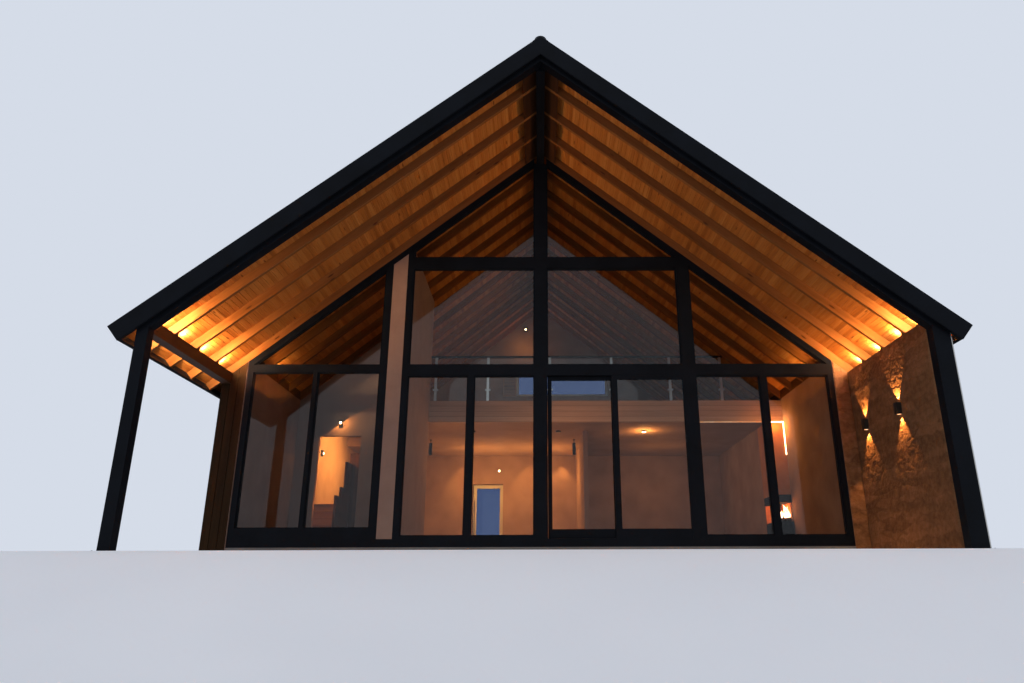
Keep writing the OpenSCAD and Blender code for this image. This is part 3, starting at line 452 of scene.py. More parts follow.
def stone(name, own):
    """Stone finish. own reads tone and joint from the mesh, otherwise from cells of 0.2 m."""
    m, tree, shader = material(name, 0.85, Specular_IOR_Level=0.2)
    spot = add(tree, "TexCoord").outputs["Object"]
    if own:
        tone = add(tree, "Attribute", attribute_name="tone").outputs["Fac"]
        joint = add(tree, "Attribute", attribute_name="joint").outputs["Fac"]
    else:
        bent = add(tree, "TexNoise", {"Vector": spot, "Scale": 5.0, "Detail": 3.0})
        place = add(tree, "VectorMath", {0: bent.outputs["Color"], 1: (0.1, 0.1, 0.1), 2: spot},
                    operation="MULTIPLY_ADD")
        cell = add(tree, "TexVoronoi", {"Vector": place, "Scale": 1 / 0.2})
        edge = add(tree, "TexVoronoi", {"Vector": place, "Scale": 1 / 0.2},
                   feature="DISTANCE_TO_EDGE").outputs["Distance"]
        tone = add(tree, "SeparateXYZ", {0: cell.outputs["Color"]})
        joint = add(tree, "MapRange", {0: edge, 1: 0.02, 2: 0.07, 3: 1.0, 4: 0.0})
    rough_ = add(tree, "TexNoise", {"Vector": spot, "Scale": 9.0, "Detail": 8.0,
                                    "Roughness": 0.68})
    grit = add(tree, "TexNoise", {"Vector": spot, "Scale": 160.0, "Detail": 3.0})
    a = add(tree, "Math", {0: tone, 1: 0.2, 2: 0.05}, operation="MULTIPLY_ADD")
    b = add(tree, "Math", {0: rough_, 1: 0.85, 2: a}, operation="MULTIPLY_ADD")
    c = add(tree, "Math", {0: grit, 1: 0.25, 2: b}, operation="MULTIPLY_ADD")
    r = add(tree, "MapRange", {0: c, 1: 0.3, 2: 1.1})
    tint = add(tree, "ValToRGB", {0: r}, stops=STONES)
    patchy = add(tree, "MapRange", {0: rough_, 1: 0.4, 2: 0.62, 3: 0.03, 4: 0.55})
    f = add(tree, "Math", {0: joint, 1: patchy}, operation="MULTIPLY")
    tint = add(tree, "Mix", {0: f, 6: tint, 7: colour("#3a281b")}, data_type="RGBA").outputs[2]
    high = add(tree, "Math", {0: grit, 1: 0.4, 2: rough_}, operation="MULTIPLY_ADD")
    if not own:
        tint, high = indoors(tree, tint, high, ALL_THE_WAY)
    bump = add(tree, "Bump", {"Strength": 0.7, "Distance": 0.012, "Height": high})
    feed(tree, shader, {"Base Color": tint, "Normal": bump})
    return m


finishes["stone_wall"] = stone("rubble_stone_core", False)
stone_face = stone("rubble_stone_face", True)
print("stone finishes ready")

# %% [markdown]
# ## Glass and light
# The panes are clear double glazing. Real glass lets light through almost unchanged, but a
# renderer would darken a room behind it, so shadow and diffuse rays pass straight through
# and only what is seen is refracted and mirrored. Lamps have a lens that glows.

# %% glass and glow
def pane_glass(name, hexa):
    """Clear glass of the given tint, coated against glare: an IOR of 1.3 in place of 1.5
    mirrors about half as much as bare glass does."""
    m, tree, shader = material(name, 0.0, IOR=1.3, Transmission_Weight=1.0,
                               Base_Color=colour(hexa))
    path = add(tree, "LightPath").outputs
    free = add(tree, "Math", {0: path["Is Shadow Ray"], 1: path["Is Diffuse Ray"]},
               operation="MAXIMUM")
    clear = add(tree, "BsdfTransparent", {"Color": colour("#eef2f1")})
    mix = add(tree, "MixShader", {0: free, 1: shader, 2: clear})
    feed(tree, tree.nodes["Material Output"], {"Surface": mix})
    return m


def glowing(name, hexa, strength):
    """Lens or flame: opal glass that glows, hotter in patches."""
    m, tree, shader = material(name, 0.3, Emission_Strength=strength)
    spot = add(tree, "TexCoord").outputs["Object"]
    drift = add(tree, "TexNoise", {"Vector": spot, "Scale": 30.0, "Detail": 1.0})
    tint = add(tree, "ValToRGB", {0: drift}, stops=[(0.3, hexa), (0.8, "#fff0cf")])
    feed(tree, shader, {"Base Color": tint, "Emission Color": tint})
    return m


finishes["window_glass"] = pane_glass("clear_double_glazing", "#f3f7f6")
# the rear door and rear window glass has a dark blue-grey tint that is painted dusk light: it
# darkens the pale sky seen through them to an evening blue
dusk_painted_glass = pane_glass("glass_with_painted_dusk_tint", "#475880")
warm_lens = glowing("warm_opal_lens", "#ffb45a", 14.0)
dim_lens = glowing("amber_lamp_lens", "#ff9a3e", 1.6)
strip_light = glowing("led_strip_diffuser", "#ffa85c", 0.55)
flame = glowing("flame", "#ff8a22", 5.0)
dark_lens = coated("unlit_opal_lens", "#6e675c", "#857d70", 0.3)
rubber = coated("black_gasket_rubber", "#0c0c0d", "#161617", 0.7)

slots = {row["node"]: row["material_slot"] for row in frame["record"]["subparts"]}
for name, node in frame["nodes"].items():
    finish = finishes[slots[name]]
    if node.material_slots:
        for place in node.material_slots:
            place.material = finish
    else:
        node.data.materials.append(finish)
for name, finish in (("rear_door_glass", dusk_painted_glass), ("rear_window_glass", dusk_painted_glass),
                     ("wall_lights", finishes["lamp_body"])):
    frame["nodes"][name].material_slots[0].material = finish
print("CAD nodes dressed:", len(frame["nodes"]))

# %% [markdown]
# ## The lining of the roof
# The porch ceiling is what the eye meets first: tongued boards, 95 mm wide, laid along the
# ridge on top of the rafters, with a V groove at each joint. One profile per slope is worked
# out with its grooves and carried from the front barge to the rear one, and it replaces the
# plain CAD layer in the same place. Bump alone could draw the joints, but the low light of
# the lamps needs real grooves to cast a line.

# %% grooved lining boards
def tube(points, turn=False, caps=True):
    """Closed surface through rings (m, n, 3): quads from ring to ring, across the seam as
    well, and one face over each end ring."""
    m, n, _ = points.shape
    at = np.arange(m * n).reshape(m, n)
    nxt = np.roll(at, -1, axis=1)
    faces = [np.stack([at[:-1], at[1:], nxt[1:], nxt[:-1]], axis=-1).reshape(-1, 4)]
    if caps:
        faces.append(np.stack([at[0], at[-1][::-1]]))
    return points.reshape(-1, 3), [f[:, ::-1] if turn else f for f in faces]


def lining(way):
    """Closed profile down the slope: underside d(s) = d_board, less 7 mm at each joint and
    rising to it over 5 mm on both sides, top side at the covering, carried along Y."""
    joints = np.arange(0.095, SLOPE - FASCIA, 0.095)
    s = np.concatenate([[0.104], (joints[joints > 0.12][:, None]
                                  + np.array([-0.005, 0, 0.005])).ravel(), [SLOPE - FASCIA]])
    d = np.full(len(s), D_BOARD)
    d[2:-1:3] -= 0.007
    low = np.stack(down(way, s, d), axis=1)
    top = np.stack(down(way, s, np.full(len(s), CLAD)), axis=1)
    y = np.linspace(FRONT + BARGE_T, BACK - BARGE_T, 8)
    outline = np.concatenate([low, top[::-1]])
    n = len(outline)
    points = np.empty((len(y), n, 3))
    points[..., 0], points[..., 1], points[..., 2] = outline[:, 0], y[:, None], outline[:, 1]
    points, faces = tube(points, turn=way < 0, caps=False)
    i = np.arange(len(s) - 1)
    end = np.stack([i, n - 1 - i, n - 2 - i, i + 1], axis=1)
    ends = (end, end[:, ::-1] + n * (len(y) - 1))
    return points, faces + [e[:, ::-1] if way > 0 else e for e in ends]


boards = piece("lining_boards", *merge(lining(-1), lining(1)), "soffit_timber")
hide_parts("soffit_boards")
print("lining faces:", len(boards.data.polygons))

# %% [markdown]
# ## The rafters
# Each rafter is a sawn 70 by 160 mm timber with a plumb cut against the ridge beam and a
# square cut behind the fascia. The arrises are planed off by 5 mm, which is what catches the
# light along every rafter. A bevel modifier would round the cut ends as well, so the outline
# itself is cut before it is carried down the slope.

# %% rafters with planed arrises
def sloping(way, y, w, d, h, s1, s2, c, plumb=False):
    """Bars w by h down the slope from s1 to s2, centred at y (k,) and at depth d, with their
    corners cut by c: square cuts at both ends, or a plumb cut at distance s1 from the centre
    line."""
    flat = arris(w, h, c)
    y = np.atleast_1d(y)[:, None] + flat[None, :, 0]
    d = d + np.broadcast_to(flat[None, :, 1], y.shape)
    x1, z1 = (np.full(y.shape, way * s1), level(s1, d)) if plumb else down(way, s1, d)
    x2, z2 = down(way, s2, d)
    return bars(np.stack([x1, y, z1], axis=-1), np.stack([x2, y, z2], axis=-1))


RIDGE_BEAM = 0.08
rafters = piece("sawn_rafters", *merge(*[
    sloping(way, RAFTER_Y + RAFTER_W / 2, RAFTER_W, D_BOARD + RAFTER_D / 2, RAFTER_D,
            RIDGE_BEAM, SLOPE - FASCIA, 0.005, plumb=True) for way in (-1, 1)]),
    "rafter_timber")
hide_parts("rafters")
print("rafters:", 2 * len(RAFTER_Y))

# %% [markdown]
# ## The stone skin
# The relief is small, about 15 mm, because the mortar is flush and the stones are dressed
# roughly flat. It is in the mesh and not only in the finish, so that the lamps on the wall
# graze real stones. Its rim goes back to the wall, so the skin closes on the CAD face.

# %% relief of the stone wall
def fog(u, v, size, seed):
    """Smooth noise: random values on a lattice of the given size, blended with a cubic."""
    table = np.random.default_rng(seed).random((64, 64))
    a, b = u / size, v / size
    i, j = np.floor(a).astype(int), np.floor(b).astype(int)
    fa, fb = a - i, b - j
    fa, fb = fa * fa * (3 - 2 * fa), fb * fb * (3 - 2 * fb)
    pick = lambda m, n: table[(i + m) % 64, (j + n) % 64]
    return ((pick(0, 0) * (1 - fa) + pick(1, 0) * fa) * (1 - fb)
            + (pick(0, 1) * (1 - fa) + pick(1, 1) * fa) * fb)


def rubble(u, v, cell=(0.85, 0.12), seed=3):
    """Relief, tone and joint at points (u, v) of a wall. The nearest and second nearest of
    the jittered centres in 3 by 3 cells give the stone and how near its joint is."""
    u2 = u + 0.10 * (fog(u, v, 0.16, seed + 1) - 0.5) + 0.04 * (fog(u, v, 0.05, seed + 2) - 0.5)
    v2 = v + 0.08 * (fog(u, v, 0.16, seed + 3) - 0.5) + 0.03 * (fog(u, v, 0.05, seed + 4) - 0.5)
    table = np.random.default_rng(seed).random((3, 128, 128))
    i, j = np.floor(u2 / cell[0]).astype(int), np.floor(v2 / cell[1]).astype(int)
    di, dj = (a.ravel() for a in np.meshgrid([-1, 0, 1], [-1, 0, 1]))
    ii, jj = i[..., None] + di, j[..., None] + dj
    cu = (ii + 0.15 + 0.7 * table[0, ii % 128, jj % 128]) * cell[0]
    cv = (jj + 0.15 + 0.7 * table[1, ii % 128, jj % 128]) * cell[1]
    far = np.hypot((u2[..., None] - cu) * cell[1] / cell[0], v2[..., None] - cv)
    order = np.argsort(far, axis=-1)
    near = np.take_along_axis(far, order[..., :2], axis=-1)
    best = order[..., 0]
    tone = np.take_along_axis(table[2, ii % 128, jj % 128], best[..., None], axis=-1)[..., 0]
    gap = near[..., 1] - near[..., 0]
    joint = np.clip(1 - gap / 0.022, 0, 1)
    face = 0.005 * tone + 0.008 * fog(u, v, 0.10, seed + 5) + 0.007 * fog(u, v, 0.04, seed + 6)
    open_ = np.clip(fog(u, v, 0.45, seed + 7) * 1.6 - 0.3, 0, 1)
    pits = np.clip(fog(u, v, 0.028, seed + 9) * 2.6 - 1.8, 0, 1)
    depth = 0.006 * joint * open_ + 0.005 * pits
    return 0.005 + face - depth + 0.003 * fog(u, v, 0.02, seed + 8), tone, joint * open_


def stone_skin(name, axis, place, out, u1, u2, z1, top, step, seed):
    """Skin on the plane at place across the axis (0 for X, 1 for Y), facing along it by out
    (-1 or 1): u runs from u1 to u2 and z from z1 to top(u)."""
    u = np.linspace(u1, u2, int((u2 - u1) / step) + 1)
    t = np.linspace(0, 1, int((float(np.max(top(u))) - z1) / step) + 1)
    uu, tt = np.meshgrid(u, t, indexing="ij")
    z2 = top(uu)
    zz = z1 + tt * (z2 - z1)
    rise, tone, joint = rubble(uu, zz, seed=seed)
    rim = np.minimum.reduce([uu - u1, u2 - uu, zz - z1, z2 - zz])
    rise = np.maximum(rise, 0.001) * np.clip(rim / 0.012, 0, 1)
    flat = place + out * rise
    points = np.stack([flat, uu, zz] if axis == 0 else [uu, flat, zz], axis=-1)
    return piece(name, *grid(points, turn=(out < 0) == (axis == 0)), "stone_wall", stone_face,
                 smooth=True, tone=tone.ravel(), joint=joint.ravel())


def grid(points, turn=False):
    """Points (m, n, 3) of a surface of two parameters as points and quads."""
    m, n, _ = points.shape
    at = np.arange(m * n).reshape(m, n)
    quads = np.stack([at[:-1, :-1], at[1:, :-1], at[1:, 1:], at[:-1, 1:]], axis=-1)
    quads = quads.reshape(-1, 4)
    return points.reshape(-1, 3), [quads[:, ::-1] if turn else quads]


def flat_top(x):
    return lambda u: np.full(np.shape(u), float(level(x, D_RAFTER)) - 0.001)


PORCH_IN = RIGHT_OUT - 0.28
porch_face = stone_skin("porch_wall_stones", 0, PORCH_IN, -1, -6.74, GLASS_Y - 0.016, 0.0,
                        flat_top(PORCH_IN), 0.0125, 3)
side_face = stone_skin("side_wall_stones", 0, RIGHT_OUT, 1, -6.74, REAR_OUT, 0.0,
                       flat_top(RIGHT_OUT), 0.026, 11)
stone_skin("return_wall_stones", 1, GLASS_Y, -1, INNER + 0.002, PORCH_IN - 0.001, 0.0,
           lambda x: level(x, D_RAFTER) - 0.002, 0.0125, 5)
print("stone faces:", len(porch_face.data.polygons) + len(side_face.data.polygons))

# %% [markdown]
# ## Cladding of the left wall and the rear gable
# Dark boards stand upright, 140 mm wide with an 8 mm shadow gap, on the outer face of the
# left wall and on the rear gable. One board could be repeated, but most of them end at their
# own height, so each is a bar with cut arrises, stopped at the door, the window and the
# slope of the roof.

# %% upright boards
WIDTH, GAP = 0.14, 0.008


def upright(axis, place, out, at, w, z1, z2, thick=0.02):
    """Boards w wide on the plane at place across the axis (0 for X, 1 for Y), facing along it
    by out: centred at (k,), from level z1 (k,) to z2 (k, 2) at the board's two edges."""
    flat = arris(w, thick, 0.003)
    part = flat[None, :, 0] / w + 0.5
    across = np.asarray(at)[:, None] + flat[None, :, 0]
    deep = np.broadcast_to(place + out * thick / 2 + flat[:, 1], across.shape)
    plan = [deep, across] if axis == 0 else [across, deep]
    low = np.broadcast_to(np.reshape(z1, (-1, 1)), across.shape)
    top = z2[:, :1] * (1 - part) + z2[:, 1:] * part
    return bars(np.stack([*plan, low], axis=-1), np.stack([*plan, top], axis=-1))


def gable_boards(y, out, half, foot, holes):
    """Boards over a gable from -half to half, each cut at the roof and split at the holes
    (x1, x2, z1, z2)."""
    n = int(2 * half / WIDTH)
    edges = np.linspace(-half, half, n + 1)
    rows = []
    for a, b in zip(edges[:-1], edges[1:]):
        a, b = a + GAP / 2, b - GAP / 2
        cuts = sorted((h[2], h[3]) for h in holes if a < h[1] and b > h[0])
        at = foot
        for low, high in cuts:
            if low > at:
                rows.append((a, b, at, low, low))
            at = high
        tops = level(np.array([a, b]), D_BOARD) - 0.002
        rows.append((a, b, at, tops[0], tops[1]))
    rows = np.array(rows)
    return upright(1, y, out, rows[:, :2].mean(axis=1), 2 * half / n - GAP, rows[:, 2],
                   rows[:, 3:])


# left, right, lower and upper edge of the rear door and the rear window with their frames
REAR_DOOR, REAR_WINDOW = (-2.24, -1.13, 0.28, 2.66), (-0.84, 2.31, 5.48, 6.39)
rear_holes = [(*REAR_DOOR[:2], 0.0, REAR_DOOR[3]), REAR_WINDOW]
end_x = -LEFT_OUT + 0.48 / 3 * (np.arange(3) + 0.5)
end_top = level(np.stack([end_x - 0.076, end_x + 0.076], axis=1), D_RAFTER) - 0.002
side_y = np.linspace(GLASS_Y + 0.02, REAR_OUT, int((REAR_OUT - GLASS_Y - 0.02) / WIDTH) + 1)
side_top = np.full((len(side_y) - 1, 2), float(level(LEFT_OUT + 0.02, D_RAFTER)) - 0.002)
cladding = piece("upright_cladding", *merge(
    upright(1, GLASS_Y, -1, end_x, 0.152, 0.01, end_top),
    upright(0, -LEFT_OUT, -1, (side_y[1:] + side_y[:-1]) / 2, side_y[1] - side_y[0] - GAP,
            0.01, side_top),
    gable_boards(REAR_OUT, 1, 6.32, 0.01, rear_holes)),
    "wall_boards")
print("cladding faces:", len(cladding.data.polygons))

# %% [markdown]
# ## Roof sheet
# The roof is dark sheet with standing seams 430 mm apart. A seam is a thin fold that stands
# up 28 mm with a small roll on top, so each one is a narrow bar down the slope with a wider
# head.

# %% standing seams
SEAM_STEP = 0.43


def seams(way):
    """Two stacked bars down the slope for each seam: a 5 mm web and a 12 mm head."""
    n = int((BACK - FRONT - 2 * BARGE_T) / SEAM_STEP)
    y = np.linspace(FRONT + BARGE_T + 0.1, BACK - BARGE_T - 0.1, n)
    return merge(*[sloping(way, y, w, (d1 + d2) / 2, abs(d2 - d1), 0.16, SLOPE - 0.030, 0.0015)
                   for w, d1, d2 in ((0.005, 0.0005, -0.022), (0.012, -0.021, -0.029))])


seam = piece("standing_seams", *merge(seams(-1), seams(1)), "roof_metal")
print("seam faces:", len(seam.data.polygons))

# %% [markdown]
# ## Folds of the barge
# The barge is a folded sheet: its lower edge turns under in a drip 16 mm deep, and its upper
# edge turns over the covering in a flat fold 100 mm wide. Each is one bar down the slope with
# a plumb cut at the ridge, and the thin lines break up the long black face.

# %% drips and upper folds of the barge
trim = []
for way in (-1, 1):
    for y, out in ((FRONT, 1), (BACK, -1)):
        trim += [sloping(way, y + out * 0.010, 0.016, BARGE_D + 0.006, 0.016, 0.0, SLOPE, 0.002,
                         plumb=True),
                 sloping(way, y + out * 0.050, 0.100, -0.0015, 0.005, 0.10, SLOPE - 0.004, 0.001,
                         plumb=True)]
fold = piece("barge_folds", *merge(*trim), "black_steel")
print("fold faces:", len(fold.data.polygons))

# %% [markdown]
# ## Beads and gaskets of the glazing
# Each pane is held by a black bead 18 mm wide on the outside, with a rubber line against the
# glass. They run round every pane, and under the roof they follow the slope, so each frame
# is worked out from the corners of its pane, with mitres at any angle.

# %% glazing beads
def ring(corners, y1, y2, w):
    """Frame of width w inside the outline corners (n, 2), given counter-clockwise as seen
    from the front: each side is a mitred bar from y1 to y2."""
    c = np.asarray(corners, float)
    n = len(c)
    e = np.roll(c, -1, axis=0) - c
    e /= np.linalg.norm(e, axis=1, keepdims=True)
    inward = np.stack([-e[:, 1], e[:, 0]], axis=1)
    before, after = np.roll(inward, 1, axis=0), inward
    mid = before + after
    mid *= (w / (mid * after).sum(axis=1))[:, None]
    inner = c + mid
    nxt = np.roll(np.arange(n), -1)

    def outline(i):
        o = np.stack([c[i], inner[i], inner[i], c[i]], axis=1)
        y = np.array([y1, y1, y2, y2])
        return np.stack([o[..., 0], np.broadcast_to(y, (n, 4)), o[..., 1]], axis=-1)
    return bars(outline(np.arange(n)), outline(nxt))


# edges of the end columns, the pier, the centre column and the right column
XE, XP2, XP1, XC, XR1, XR2 = 5.74, 3.225, 2.655, 0.13, 2.84, 3.10
# the nearer and farther edges of the mullions in the left, middle and right bays
M1, M2, M4 = (4.455, 4.535), (1.33, 1.455), (4.375, 4.505)
SILL, LEFT_RAIL = FLOOR + 0.05, FLOOR + 0.197
TRANSOM = float(level(XE, HEAD_D)) - 0.012
T_LOW, LEFT_T_LOW = TRANSOM - 0.225, TRANSOM - 0.145
UPPER = float(level(XR1, HEAD_D)) - 0.025
UP_LOW = UPPER - 0.25


def pane(x1, x2, z1, z2):
    return [(x1, z1), (x2, z1), (x2, z2), (x1, z2)]


def head_pane(x1, x2, z1):
    return [(x1, z1), (x2, z1), (x2, float(level(x2, HEAD_D))), (x1, float(level(x1, HEAD_D)))]


panes = [
    pane(-XE, -M1[1], LEFT_RAIL, LEFT_T_LOW), pane(-M1[0], -XP2, LEFT_RAIL, LEFT_T_LOW),
    pane(-XP1, -M2[1], SILL, T_LOW), pane(-M2[0], -XC, SILL, T_LOW),
    pane(XR2, M4[0], SILL, T_LOW), pane(M4[1], XE, SILL, T_LOW),
    pane(-XP1, -XC, TRANSOM, UP_LOW), pane(XC, XR1, TRANSOM, UP_LOW),
    head_pane(-XP1, -XC, UPPER), head_pane(XC, XR1, UPPER),
    head_pane(-XE, -XP2, TRANSOM), head_pane(XR2, XE, TRANSOM),
]
beads = [ring(p, GLASS_Y + y1, GLASS_Y + y2, 0.018)
         for y1, y2 in ((0.028, 0.052), (0.088, 0.115)) for p in panes]
piece("glazing_beads", *merge(*beads), "black_steel")
seals = [ring(p, GLASS_Y + 0.050, GLASS_Y + 0.0555, 0.023) for p in panes]
piece("glazing_gaskets", *merge(*seals), "black_steel", rubber)
print("panes with beads:", len(panes))

# %% [markdown]
# The two leaves of the sliding door, the rear door and the wide rear window have slimmer
# beads. Those of a leaf ride on it, so they slide or swing with their glass. The sliding leaf
# has a flat bar to pull, thin enough to pass behind the fixed leaf.

# %% beads of the doors and of the rear window
def blocks(lo, hi, c=0.002):
    """Points and faces of boxes from lo to hi (k, 3), long edges along the longest side
    rounded by c."""
    lo, hi = np.atleast_2d(lo).astype(float), np.atleast_2d(hi).astype(float)
    size, mid = hi - lo, (hi + lo) / 2
    axis = int(np.argmax(size[0]))
    u, v = [a for a in range(3) if a != axis]
    unit = arris(2, 2, 0)
    cut = np.array([[1, 0], [-1, 0], [0, 1], [0, -1], [-1, 0], [1, 0], [0, -1], [0, 1]]) * c
    first = np.zeros((len(lo), 8, 3))
    first[:, :, u] = mid[:, u, None] + unit[None, :, 0] * size[:, u, None] / 2 + cut[:, 0]
    first[:, :, v] = mid[:, v, None] + unit[None, :, 1] * size[:, v, None] / 2 + cut[:, 1]
    last = first.copy()
    first[:, :, axis] = lo[:, axis, None]
    last[:, :, axis] = hi[:, axis, None]
    return bars(first, last)


def both_sides(outline, front, glass, back, w):
    """Beads on both faces of a pane, between the frame's faces and the glass."""
    return merge(ring(outline, front + 0.0008, glass[0] - 0.0005, w),
                 ring(outline, glass[1] + 0.0005, back - 0.0008, w))


leaf = pane(0.201, 1.41, 0.513, T_LOW - 0.07)
piece("sliding_leaf_beads", *both_sides(leaf, -3.59, (-3.58, -3.55), -3.54, 0.014),
      "black_steel", body="sliding_leaf")
piece("sliding_leaf_pull", *merge(
    blocks([0.160, -3.607, 1.20], [0.178, -3.601, 1.62]),
    blocks([[0.163, -3.602, 1.22], [0.163, -3.602, 1.57]],
           [[0.175, -3.5895, 1.25], [0.175, -3.5895, 1.60]], 0.001)),
    "black_steel", body="sliding_leaf")
fixed = pane(1.51, XR1, 0.513, T_LOW - 0.07)
piece("fixed_leaf_beads", *both_sides(fixed, -3.67, (-3.66, -3.63), -3.62, 0.014),
      "black_steel")
rear_leaf = pane(-2.079, -1.302, 0.446, 2.494)
piece("rear_door_beads", *both_sides(rear_leaf, 6.33, (6.35, 6.37), 6.39, 0.014),
      "pale_frame", body="rear_door")
rear_light = pane(-0.74, 2.21, 5.58, 6.29)
piece("rear_window_beads", *both_sides(rear_light, 6.19, (6.21, 6.24), 6.26, 0.016),
      "pale_frame")
piece("rear_surrounds", *merge(ring(pane(*REAR_DOOR), 6.391, 6.414, 0.055),
                               ring(pane(*REAR_WINDOW), 6.391, 6.414, 0.04)),
      "black_steel")
print("door beads set")

# %% [markdown]
# ## Small parts
# Each small part has a use: base plates with bolts hold the porch posts, a thin metal angle
# guards the corner of the wide post, clamps hold the balustrade glass, and every step has a
# nosing that overhangs its riser. Beside the wide rear window hangs a louvre of tilted slats,
# and two black spotlights hang from the ceiling under the mezzanine.

# %% plates and corner angle
def circle(n):
    """n equal angles round a full turn."""
    return np.linspace(0, 2 * math.pi, n, endpoint=False)


def discs(centres, normals, radius, depth, n=24):
    """Low domed discs: rings r(t) = radius cos t, h(t) = depth sin t round each centre, for
    lenses and bolt heads."""
    centres, normals = (np.atleast_2d(v).astype(float) for v in (centres, normals))
    t = np.linspace(0, math.pi / 2 * 0.98, 5)
    a = circle(n)
    helper = np.where(np.abs(normals[:, 2:3]) > 0.9, [[1.0, 0, 0]], [[0, 0, 1.0]])
    u = np.cross(helper, normals)
    u /= np.linalg.norm(u, axis=1, keepdims=True)
    v = np.cross(normals, u)
    ring = np.cos(a)[None, :, None] * u[:, None] + np.sin(a)[None, :, None] * v[:, None]
    r = radius * np.cos(t)[None, :, None, None]
    h = depth * np.sin(t)[None, :, None, None]
    pts = centres[:, None, None] + r * ring[:, None] + h * normals[:, None, None]
    k, m = len(centres), len(t)
    at = np.arange(m * n).reshape(m, n)
    nxt = np.roll(at, -1, axis=1)
    quads = np.stack([at[:-1], nxt[:-1], nxt[1:], at[1:]], axis=-1).reshape(-1, 4)
    caps = np.stack([at[0][::-1], at[-1]])
    off = (np.arange(k) * m * n)[:, None, None]
    return pts.reshape(-1, 3), [(quads[None] + off).reshape(-1, 4),
                                (caps[None] + off).reshape(-1, n)]


plates = blocks([[-6.39, -6.98, 0.0], [6.09, -6.98, 0.0]],
                [[-6.09, -6.68, 0.012], [6.49, -6.742, 0.012]])
bolt_at = [(x, y, 0.012) for x, y in ((-6.37, -6.96), (-6.11, -6.96), (-6.37, -6.70),
                                      (-6.11, -6.70), (6.12, -6.95), (6.46, -6.95))]
bolts = discs(bolt_at, [(0, 0, 1)] * len(bolt_at), 0.013, 0.014, n=12)
piece("post_base_plates", *merge(plates, bolts), "black_steel")
piece("corner_angle", *merge(
    blocks([6.416, -6.9214, 0.02], [6.4314, -6.9200, 3.36], 0.0003),
    blocks([6.4300, -6.9214, 0.02], [6.4314, -6.9050, 3.36], 0.0003)),
    "pale_metal")
print("bolts:", len(bolt_at))

# %% clamps of the balustrade
POSTS_X = np.array([-2.57, -1.29, 0.23, 1.75, 3.18, 4.43])
gaps = [(x + way * 0.03, way, z) for x in POSTS_X for way in (-1, 1) for z in (4.05, 4.62)
        if -2.62 < x + way * 0.05]
lo, hi = (np.array([[side_of(x, x + way * 0.035), y, z + dz] for x, way, z in gaps])
          for side_of, y, dz in ((min, -0.436, -0.02), (max, -0.384, 0.02)))
piece("balustrade_clamps", *blocks(lo, hi, 0.003), "pale_metal")
print("clamps:", len(gaps))

# %% nosings of the stair
RISE, GOING = 0.19, 0.25
# steps, first riser, level below it, axis of the run and the edges across it
flights = [(6, 0.05, FLOOR, 1, (-5.848, -4.952)), (3, -4.95, 1.49, 0, (1.302, 2.198)),
           (8, 2.20, 2.06, 1, (-4.448, -3.552))]
nosings = []
for steps, start, z, axis, (w1, w2) in flights:
    at, top = start + GOING * np.arange(steps), z + RISE * (np.arange(steps) + 1)
    lo, hi = np.zeros((steps, 3)), np.zeros((steps, 3))
    lo[:, axis], hi[:, axis] = at - 0.018, at + 0.012
    lo[:, 1 - axis], hi[:, 1 - axis] = w1, w2
    lo[:, 2], hi[:, 2] = top - 0.028, top + 0.003
    nosings.append(blocks(lo, hi, 0.006))
piece("stair_nosings", *merge(*nosings), "stair_timber")
print("nosings:", sum(flight[0] for flight in flights))

# %% louvre and hanging spotlights
def slats(x1, x2, y, z, depth, thick, tilt):
    """Tilted slats: a flat outline turned by tilt in the YZ plane and carried along X."""
    flat = arris(depth, thick, thick * 0.3)
    c, si = math.cos(tilt), math.sin(tilt)
    yy = y + flat[None, :, 0] * c - flat[None, :, 1] * si
    zz = z[:, None] + flat[None, :, 0] * si + flat[None, :, 1] * c
    yy = np.broadcast_to(yy, zz.shape)
    return bars(np.stack([np.full(zz.shape, x1), yy, zz], axis=-1),
                np.stack([np.full(zz.shape, x2), yy, zz], axis=-1))


def turned(profile, place, n=32):
    """Surface of revolution: point (r cos a, r sin a, z) for each (r, z) of the profile."""
    r, z = np.array(profile, float).T
    a = circle(n)
    pts = np.stack([np.outer(r, np.cos(a)) + place[0], np.outer(r, np.sin(a)) + place[1],
                    np.broadcast_to(z[:, None], (len(r), n))], axis=-1)
    return tube(pts, turn=True)


louvre = merge(ring(pane(-1.25, -0.80, 5.50, 6.33), 6.055, 6.108, 0.035),
               slats(-1.218, -0.832, 6.082, np.linspace(5.56, 6.27, 15), 0.046, 0.008, 0.7))
piece("rear_louvre", *louvre, "band_timber")
barrel = [(0.004, 3.08), (0.030, 3.08), (0.034, 3.065), (0.044, 3.062), (0.046, 3.07),
          (0.046, 3.395), (0.040, 3.405), (0.010, 3.408), (0.010, 3.485), (0.035, 3.487),
          (0.035, 3.499), (0.004, 3.4995)]
piece("hanging_spots", *merge(turned(barrel, (-3.17, 3.2)), turned(barrel, (0.97, 3.2))),
      "black_steel", smooth=True)
print("louvre slats: 15, spots: 2")
